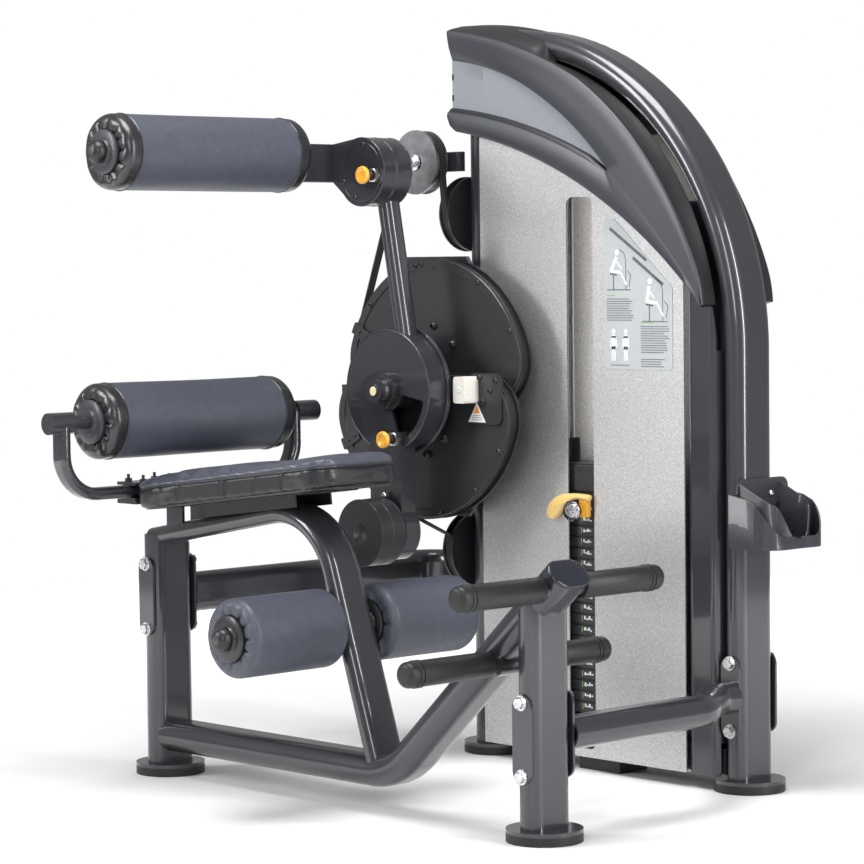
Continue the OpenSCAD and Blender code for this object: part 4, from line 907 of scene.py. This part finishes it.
def shroud_cover(name, node, side, grow):
    """One half of the shroud. side is -1 for the seat side; grow widens the rim beyond the arch's inner edge."""
    y0 = shroud_lo.y if side < 0 else rear_shroud_y
    ridge_y = TOWER_Y + side * 0.0003
    tube_y = TOWER_Y + side * 0.0515

    def deep(d):
        return y0 - side * d

    bm = bmesh.new()
    columns = []
    for i in range(COLUMNS + 1):
        s = i / COLUMNS
        rim, low = at_part(rim_line, s), at_part(low_line, s)
        wide = grow * ease((rim.x - SX - 0.22) / 0.16)
        away = (rim - ARCH).normalized()
        rim = rim + away * wide
        line = (low - rim).normalized()
        tip = 1 - ease((s - TIP_AT + 0.01) / 0.012)
        if s < TIP_AT:
            top, base = at_part(recess_top, s / TIP_AT), at_part(recess_low, s / TIP_AT)
        else:
            top = base = rim + (low - rim) * MEET + (RECESS_TIP - tip_meet) * ease((1 - s) / (1 - TIP_AT))
        gap = (base - top).length
        down = (base - top).normalized() if gap > 0.0005 else line
        hollow = 0.012 * tip
        scoop = 0.011 * ease((TIP_AT * 0.62 - s) / (TIP_AT * 0.62))
        covered = 1 - ease((rim.x - SX - 0.235) / 0.045)
        ridge = Vector((rim.x, at_part(ridge_line, min(1.0, (rim.x - SX) / 0.31)).y))
        tube_edge = ARCH + away * (ARCH_INNER_R + wide)
        crest = rim.lerp(ridge, 0.72 * covered)
        rows = [(tube_edge.lerp(ridge, covered), tube_y * (1 - covered) + ridge_y * covered),
                (crest.lerp(tube_edge, 0.75 * (1 - covered)), deep(0.045 * covered + 0.03 * (1 - covered))),
                (rim.lerp(ridge, 0.22 * covered), deep(0.012)), (rim, deep(0.0048)),
                (rim + line * 0.0006, deep(0.0024)), (rim + line * 0.0022, deep(0.0006)),
                (rim + line * 0.005, deep(0)), (rim.lerp(top, 0.3), deep(scoop * ease(0.3) * 0.8)),
                (rim.lerp(top, 0.6), deep(scoop * ease(0.6) * 0.8)), (top - down * 0.0025, deep(scoop * 0.92)),
                (top, deep(scoop + 0.0008 * tip)),
                (top + down * min(0.0022, gap * 0.2), deep(max(hollow, scoop * 0.95))),
                (top.lerp(base, 0.35), deep(hollow)), (top.lerp(base, 0.65), deep(hollow)),
                (base - down * min(0.0085, gap * 0.3), deep(hollow)),
                (base - down * min(0.0045, gap * 0.15), deep(hollow * 0.35)), (base, deep(0.001 * tip)),
                (base + line * 0.0022, deep(0)), (base.lerp(low, 0.55), deep(-0.0012)),
                (low - line * 0.005, deep(0.0004)), (low - line * 0.0018, deep(0.0016)), (low, deep(0.0048)),
                (low, deep(0.0275))]
        columns.append([bm.verts.new((p.x, y, p.y)) for p, y in rows])
    face, lip, recess = 0, 1, 2
    looks = [lip] * 4 + [face] * 6 + [lip] + [recess] * 3 + [lip] * 2 + [face] * 5 + [lip]
    for a, b in zip(columns, columns[1:]):
        for k, look in enumerate(looks):
            bm.faces.new((a[k], a[k + 1], b[k + 1], b[k])).material_index = look
    for edge, y in ((columns[0], ridge_y), (columns[-1], tube_y)):
        back = [bm.verts.new((v.co.x, y, v.co.z)) for v in edge]
        for k in range(len(edge) - 1):
            bm.faces.new((edge[k], edge[k + 1], back[k + 1], back[k])).material_index = lip
    for v in columns[0]:
        if SX - 0.001 < v.co.x and 1.32 < v.co.z < 1.43:
            v.co.x += 0.0035
    bmesh.ops.remove_doubles(bm, verts=bm.verts, dist=0.00015)
    cover = from_bm(name, bm, "root", "shroud_plastic", "shroud", "lip", "recess", sharp=48)
    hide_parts(node)


shroud_cover("front_shroud_cover", "front_shroud", -1, 0.0)
shroud_cover("rear_shroud_cover", "rear_shroud", 1, 0.026)
bm = bmesh.new()
for side, y, axis in ((-1, shroud_lo.y, "-y"), (1, rear_shroud_y, "y")):
    add_lathe(bm, (SX + 0.421, y - side * 0.0115, 1.233), axis,
              mm((0, 0), (0, 4.5), (1.2, 5.2), (1.2, 6.8), (0.4, 7.4)), 28)
    near, far = sorted((y - side * 0.0108, y - side * 0.0135))
    for z in (1.390, 1.348):
        add_box(bm, (SX + 0.0036, near, z - 0.006), (SX + 0.0075, far, z + 0.006))
from_bm("shroud_screws", bm, "root", "black_plastic", "lip")


# ---- Selector, stack and labels ----

def smooth_loop(points, steps=6):
    """Closed Catmull-Rom curve through the points."""
    out = []
    n = len(points)
    for i in range(n):
        p0, p1, p2, p3 = (Vector(points[(i + k) % n]) for k in (-1, 0, 1, 2))
        for j in range(steps):
            t = j / steps
            out.append(0.5 * (2 * p1 + (p2 - p0) * t + (2 * p0 - 5 * p1 + 4 * p2 - p3) * t * t
                              + (3 * p1 - p0 - 3 * p2 + p3) * t ** 3))
    return out


sel_lo, sel_hi = lo_hi("selector_pin")
knob = Vector((sel_hi.x - 0.035, sel_lo.y, sel_lo.z + 0.023))
length = sel_hi.y - sel_lo.y
bm = bmesh.new()
add_lathe(bm, knob, "y", mm((2, 0), (1.8, 12), (0.2, 16.5), (0, 19), (1.2, 20.5), (4, 21.2), (7.8, 20.5), (9, 18.5),
                            (9, 11), (9, 0)), 64)
add_lathe(bm, knob, "y", mm((9.2, 0), (9.2, 12.5), (20, 12.5), (21, 11.5), (28, 11.5), (28, 0)), 40, mat=1)
add_lathe(bm, knob, "y", mm((5, 0), (5, 5), (6.6, 5.6), (6.6, 14), (8, 15), (8.4, 0)), 40, mat=2)
add_lathe(bm, knob, "y", [(0.028, 0.005), (length - 0.002, 0.005), (length, 0.003), (length, 0)], 28, mat=2)
lever = smooth_loop(mm((34, 31.5), (12, 33.5), (-10, 33.5), (-32, 31.5), (-52, 25.5), (-68, 15), (-77.5, 2),
                       (-80, -9), (-74, -18.5), (-62.5, -20), (-51, -13), (-40, -1), (-27, 10.5), (-10, 19),
                       (8, 22.5), (23.5, 22), (33.5, 20.5), (36, 25.5)))
rings = []
for d, draw_in in ((0.0125, 0.22), (0.014, 0.10), (0.0165, 0), (0.0235, 0), (0.0265, 0.12)):
    ring = []
    for i, p in enumerate(lever):
        way = (lever[(i + 1) % len(lever)] - lever[i - 1]).normalized()
        p = p + Vector((-way.y, way.x)) * 0.012 * draw_in
        ring.append((knob.x + p.x, knob.y + d, knob.z + p.y))
    rings.append(ring)
bridge(bm, rings, 3, caps=True)
add_prism(bm, round_rect(knob.x + 0.006, knob.z - 0.013, knob.x + 0.031, knob.z + 0.027, 0.005), "y",
          knob.y + 0.019, knob.y + 0.0268, 4)
piece = from_bm("selector_lever", bm, "selector", "amber_plastic", "clear", "plastic", "zinc", "lever",
                "amber", sharp=50)
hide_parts("selector_pin")

plates_lo, plates_hi = lo_hi("weight_plates")
lifted_lo, lifted_hi = lo_hi("lifted_plates")
face_y = plates_lo.y
stack_x = (lifted_lo.x + lifted_hi.x) / 2
bm = bmesh.new()
add_prism(bm, round_rect(stack_x - 0.034, lifted_hi.z + 0.004, stack_x + 0.04, lifted_hi.z + 0.055, 0.012), "y",
          face_y - 0.006, face_y + 0.001)
from_bm("stack_head_lug", bm, "weight_carriage", "cast_plates", "plates", bevel=0.0012)

PLATE_PITCH = 0.022
draw = random.Random(40)


def plate_marks(name, body, lo, hi):
    """A green tick and a few plain white blocks on each plate's front edge, on a front strip in a lighter copy of the
    plate colour: painted light on each plate's front, painted shade left in the gaps between plates.
    """
    bm = bmesh.new()
    front, back = face_y - 0.0019, face_y - 0.0013
    z = lo + PLATE_PITCH / 2
    while z < hi:
        # Front strip in the lighter copy of the plate colour: painted light on the plate, painted shade left in the
        # gaps.
        add_prism(bm, round_rect(stack_x - 0.06, z - 0.0085, stack_x + 0.06, z + 0.0092, 0.002, 2), "y",
                  face_y - 0.0014, face_y + 0.0003, 2)
        x = stack_x - 0.0165
        add_box(bm, (x, front, z - 0.004), (x + 0.0016, back, z + 0.0075), 1)
        x += 0.006
        for k in range(4):
            wide = draw.uniform(0.0032, 0.0052)
            low = z + draw.choice((-0.0015, -0.0005, 0.0005))
            high = low + draw.choice((0.007, 0.006)) if k % 2 == 0 else low + 0.003
            add_box(bm, (x, front, low), (x + wide, back, high))
            x += wide + 0.0016
        z += PLATE_PITCH
    from_bm(name, bm, body, "cast_plates", "white", "green", "plate_face")


plate_marks("plate_marks", "root", plates_lo.z, plates_hi.z)
plate_marks("lifted_plate_marks", "weight_carriage", lifted_lo.z, lifted_hi.z)


# ---- Placard ----

sign_lo, sign_hi = lo_hi("placard")
SIGN_W, SIGN_H = sign_hi.x - sign_lo.x, sign_hi.z - sign_lo.z
SIGN_BACK = sign_lo.y + 0.0002
LINE_PITCH = 0.0155
bm = bmesh.new()


def on_sign(x, z):
    """Point on the placard, as shares of its width, measured from its lower left corner."""
    return Vector((sign_lo.x + SIGN_W * x, sign_lo.z + SIGN_W * z))


def dot(x, z, r, lift):
    add_prism(bm, arc(on_sign(x, z), r, 0, 330, 11), "y", sign_lo.y - lift, SIGN_BACK, 1)


def stroke(points, wide, mat, lift=0.0005):
    """Line of constant width through points on the placard."""
    spots = [on_sign(x, z) for x, z in points]
    for at, to in zip(spots, spots[1:]):
        way = (to - at).normalized()
        side = Vector((-way.y, way.x)) * wide / 2
        over = way * wide * 0.3
        corners = (at - side - over, at + side - over, to + side + over, to - side + over)
        add_prism(bm, [tuple(c) for c in corners], "y", sign_lo.y - lift, SIGN_BACK, mat)


def pictogram(x, z, size, lean):
    """A plain machine outline in dark lines with a white seated figure."""
    back = (0.34 + lean * 0.12, 0.95 - abs(lean) * 0.08)
    for points, wide, mat, lift in (
            (((0.05, 0), (0.95, 0)), 0.0016, 0, 0.0005),
            (((0.30, 0), (0.30, 0.40)), 0.0022, 0, 0.0005),
            (((0.78, 0), (0.78, 0.85), (0.70, 1.05), (0.52, 1.15)), 0.0014, 0, 0.0005),
            (((0.90, 0.10), (0.97, 0.40), (0.85, 0.55)), 0.0014, 0, 0.0005),
            (((0.18, 0.46), (0.42, 0.42)), 0.0030, 0, 0.0005),
            (((0.22, 0.55), back), 0.0085, 1, 0.0007),
            (((0.22, 0.53), (0.58, 0.50)), 0.0065, 1, 0.0008),
            (((0.58, 0.50), (0.80, 0.16)), 0.0042, 1, 0.0009),
            (((back[0], back[1] - 0.08), (back[0] + 0.20, back[1] - 0.30)), 0.0034, 1, 0.0010)):
        stroke([(x + size * u, z + size * v) for u, v in points], wide, mat, lift)
    dot(x + size * (back[0] + 0.03), z + size * (back[1] + 0.16), 0.006, 0.0007)


def lines(x0, x1, z1, count, mat=0):
    """Plain bars in place of text; the heights are shares of the placard's own height."""
    for k in range(count):
        end, top = x1 - draw.uniform(0.0, 0.10), z1 - LINE_PITCH * k
        add_box(bm, (sign_lo.x + SIGN_W * x0, sign_lo.y - 0.0004, sign_lo.z + SIGN_H * (top - 0.0045)),
                (sign_lo.x + SIGN_W * end, SIGN_BACK, sign_lo.z + SIGN_H * top), mat)


pictogram(0.03, 0.86, 0.38, 0.6)
pictogram(0.55, 0.52, 0.40, -0.4)
for row in ((0.04, 0.26, 0.492, 1, 2), (0.04, 0.44, 0.468, 10), (0.53, 0.76, 0.312, 1, 2), (0.54, 0.97, 0.288, 12),
            (0.54, 0.90, 0.072, 4), (0.10, 0.38, 0.030, 1)):
    lines(*row)
for x in (0.14, 0.32):
    stroke([(x - 0.018, 0.10), (x - 0.014, 0.24)], 0.0045, 1)
    stroke([(x + 0.018, 0.10), (x + 0.014, 0.24)], 0.0045, 1)
    stroke([(x, 0.23), (x, 0.36)], 0.01, 1)
    stroke([(x - 0.045, 0.24), (x - 0.030, 0.35), (x + 0.030, 0.35), (x + 0.045, 0.24)], 0.0032, 1)
    dot(x, 0.41, 0.005, 0.0005)
stroke([(0.10, 1.52), (0.62, 1.18)], 0.006, 0)
stroke([(0.44, 1.20), (0.86, 0.92)], 0.006, 0)
from_bm("placard_print", bm, "root", "placard_film", "ink", "white", "green")


# ---- Cup holder ----

WALL = 0.003
CUP_HALF = 0.059
CUP_TURN = 0.050
POCKET_BULGE = 0.043
cup_lo, cup_hi = lo_hi("cup_holder")
cup_mid = (cup_lo.y + cup_hi.y) / 2
X0, X1 = cup_lo.x, cup_hi.x


def bin_shell(bm, path, heights, floor):
    """Open bin: a path in plan from the post and back to it, with its rim height at every point."""
    rows = []
    for i, ((x, y), h) in enumerate(zip(path, heights)):
        way = (Vector(path[min(i + 1, len(path) - 1)]) - Vector(path[max(i - 1, 0)])).normalized()
        u, v = -way.y * WALL, way.x * WALL
        rows.append([bm.verts.new(c) for c in (
            (x, y, cup_lo.z + 0.0025), (x, y, h - 0.001), (x + u * 0.3, y + v * 0.3, h), (x + u * 0.7, y + v * 0.7, h),
            (x + u, y + v, h - 0.001), (x + u, y + v, floor))])
    for a, b in zip(rows, rows[1:]):
        for k in range(5):
            bm.faces.new((a[k], b[k], b[k + 1], a[k + 1]))
    bm.faces.new([r[0] for r in rows])
    bm.faces.new([r[5] for r in rows])


bm = bmesh.new()
turn_x, turn_y = X1 - CUP_TURN - 0.0015, CUP_HALF - CUP_TURN
path = ([(X0, cup_mid - CUP_HALF), (X0 + 0.018, cup_mid - CUP_HALF)]
        + arc((turn_x, cup_mid - turn_y), CUP_TURN, -90, 0, 22) + arc((turn_x, cup_mid + turn_y), CUP_TURN, 0, 90, 22)
        + [(X0 + 0.018, cup_mid + CUP_HALF), (X0, cup_mid + CUP_HALF)])
run = distances(path)
shares = [min(d, run[-1] - d) / (run[-1] / 2) for d in run]
bin_shell(bm, path, [cup_hi.z - 0.006 - 0.107 * (0.62 * s + 0.38 * ease((s - 0.62) / 0.26)) for s in shares],
          cup_lo.z + 0.008)
for side in (-1, 1):
    y_out = cup_mid + side * (cup_hi.y - cup_mid)
    pocket = ([(X0, y_out), (X0 + 0.02, y_out), (X0 + 0.04, y_out)]
              + [(x, y_out - side * (POCKET_BULGE + y))
                 for x, y in arc((X1 - POCKET_BULGE, 0), POCKET_BULGE, -90, 0, 22)]
              + [(X1 - 0.0004, y_out - side * (POCKET_BULGE + 0.02)), (X1 - 0.0045, cup_mid + side * 0.0075)])
    shares = [min(1.0, d / 0.128) for d in distances(pocket)]
    heights = [cup_lo.z + 0.104 - 0.079 * (0.3 * s + 0.7 * ease((s - 0.36) / 0.62)) for s in shares]
    pocket += [(X0 + 0.05, cup_mid + side * 0.004), (X0, cup_mid + side * 0.004)]
    heights += [cup_lo.z + 0.012] * 2
    bin_shell(bm, pocket[::-side], heights[::-side], cup_lo.z + 0.0085)
back = [(cup_lo.y + 0.004, cup_lo.z + 0.002), (cup_hi.y - 0.004, cup_lo.z + 0.002)]
back += arc((cup_hi.y - 0.022, cup_hi.z - 0.018), 0.018, 0, 90, 8)
back += arc((cup_mid - CUP_HALF + 0.014, cup_hi.z - 0.018), 0.018, 90, 180, 8)
back += [(cup_mid - CUP_HALF - 0.006, cup_lo.z + 0.103), (cup_lo.y + 0.004, cup_lo.z + 0.102)]
add_prism(bm, back, "x", X0, X0 + 0.0035)
add_screw(bm, (X0 + 0.0035, cup_mid + 0.034, cup_lo.z + 0.1), "x", 0.0065, 0.003, 1)
# The slot is not cut through the back: a near-black insert fills it as painted shade.
slot = round_rect(cup_mid + 0.047, cup_lo.z + 0.046, cup_mid + 0.057, cup_lo.z + 0.084, 0.0049)
add_prism(bm, slot, "x", X0 + 0.003, X0 + 0.0045, 2)
piece = from_bm("cup_bins", bm, "root", "black_plastic", "cup", "zinc", "lip", sharp=50)
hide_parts("cup_holder")


# ---- Bolts, grips and end caps ----

GRIP_R = 0.023
GRIP_END_R = 0.011
RIB = 0.0015
POST_HALF = 0.055
BOLT_APART = 0.065
CAP_TILT = math.radians(47.5)
UPRIGHT_IN = 0.0685
grip_lo, grip_hi = lo_hi("foot_bar_grips")
cap_lo, cap_hi = lo_hi("beam_end_cap")
seat_line = (grip_lo.y + grip_hi.y) / 2

near, far = (cap_hi.y - cap_lo.y) / 2 + 0.004, grip_hi.y - seat_line
profile = [(near, 0.0165), (near, GRIP_R - 0.0015), (near + 0.0015, GRIP_R)]
for rib in (far - 0.036, far - 0.027):
    profile += [(rib - 0.0006, GRIP_R), (rib, GRIP_R + RIB), (rib + 0.005, GRIP_R + RIB), (rib + 0.0056, GRIP_R)]
profile += arc((far - GRIP_END_R, GRIP_R - GRIP_END_R), GRIP_END_R, 90, 0, 6) + [(far, 0)]
bm = bmesh.new()
rib_r = GRIP_R + RIB
for x, z in ((grip_hi.x - rib_r, grip_hi.z - rib_r), (grip_lo.x + rib_r, grip_lo.z + rib_r)):
    for axis in ("-y", "y"):
        add_lathe(bm, (x, seat_line, z), axis, profile, 56)
piece = from_bm("foot_grips", bm, "root", "black_rubber", "rubber", sharp=50)
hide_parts("foot_bar_grips")

front_tube_z = middle("front_cross_tube").z
bm = bmesh.new()
for x, y, z in ((middle("rear_post").x, seat_line, middle("rear_cross_tube").z),
                (middle("front_post").x, seat_line, front_tube_z),
                (lo_hi("arch_tube")[1].x - UPRIGHT_IN, TOWER_Y, front_tube_z)):
    for up in (-BOLT_APART, BOLT_APART):
        add_hex(bm, (x, y - POST_HALF, z + up), "-y", 0.011, 0.008, 0.014)
        add_hex(bm, (x, y + POST_HALF, z + up), "y", 0.011, 0.0095, 0.014)
        add_lathe(bm, (x, y + POST_HALF + 0.012, z + up), "y", mm((0, 6), (3, 6), (3.8, 5.2), (3.8, 0)), 20)
piece = from_bm("joint_bolts", bm, "root", "zinc_steel", "zinc")
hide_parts("frame_bolts")

tilted = (Matrix.Translation((cap_hi.x - 0.024, seat_line, cap_hi.z - 0.0255))
          @ Matrix.Rotation(CAP_TILT, 4, "Y"))
bm = bmesh.new()
bridge(bm, [[tilted @ Vector((x, y, drop))
             for x, y in arc((0, 0.015), r, 0, 180, 20) + arc((0, -0.015), r, 180, 360, 20)]
            for r, drop in mm((26.2, -10), (26.2, 0), (29.6, 0), (29.9, 1.2), (29.7, 3), (28.5, 4.4), (26.5, 5.2),
                              (20, 5.8), (10, 6.1))], caps=True)
piece = from_bm("beam_end_plug", bm, "root", "black_plastic", "cap", sharp=60)
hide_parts("beam_end_cap")

rear_lo, rear_hi = lo_hi("rear_cross_tube")
end_x = lo_hi("left_upright")[1].x - UPRIGHT_IN + 0.022
bm = bmesh.new()
add_prism(bm, round_rect(rear_hi.y - 0.0492, rear_lo.z + 0.0008, rear_hi.y - 0.0008, rear_hi.z - 0.0008, 0.01), "x",
          end_x, end_x + 0.0028)
from_bm("cross_tube_plug", bm, "root", "black_plastic", "plastic", bevel=0.0008)

guide = middle("guide_pulley")
bm = bmesh.new()
add_hex(bm, (guide.x, lo_hi("pulley_brackets")[0].y, guide.z), "-y", 0.011, 0.0085, 0.017)
for node in ("lower_side_pulley", "upper_side_pulley"):
    mid = middle(node)
    add_hex(bm, (lo_hi(node)[0].x, mid.y, mid.z), "-x", 0.01, 0.006, 0.014)
from_bm("pulley_bolts", bm, "root", "zinc_steel", "zinc")
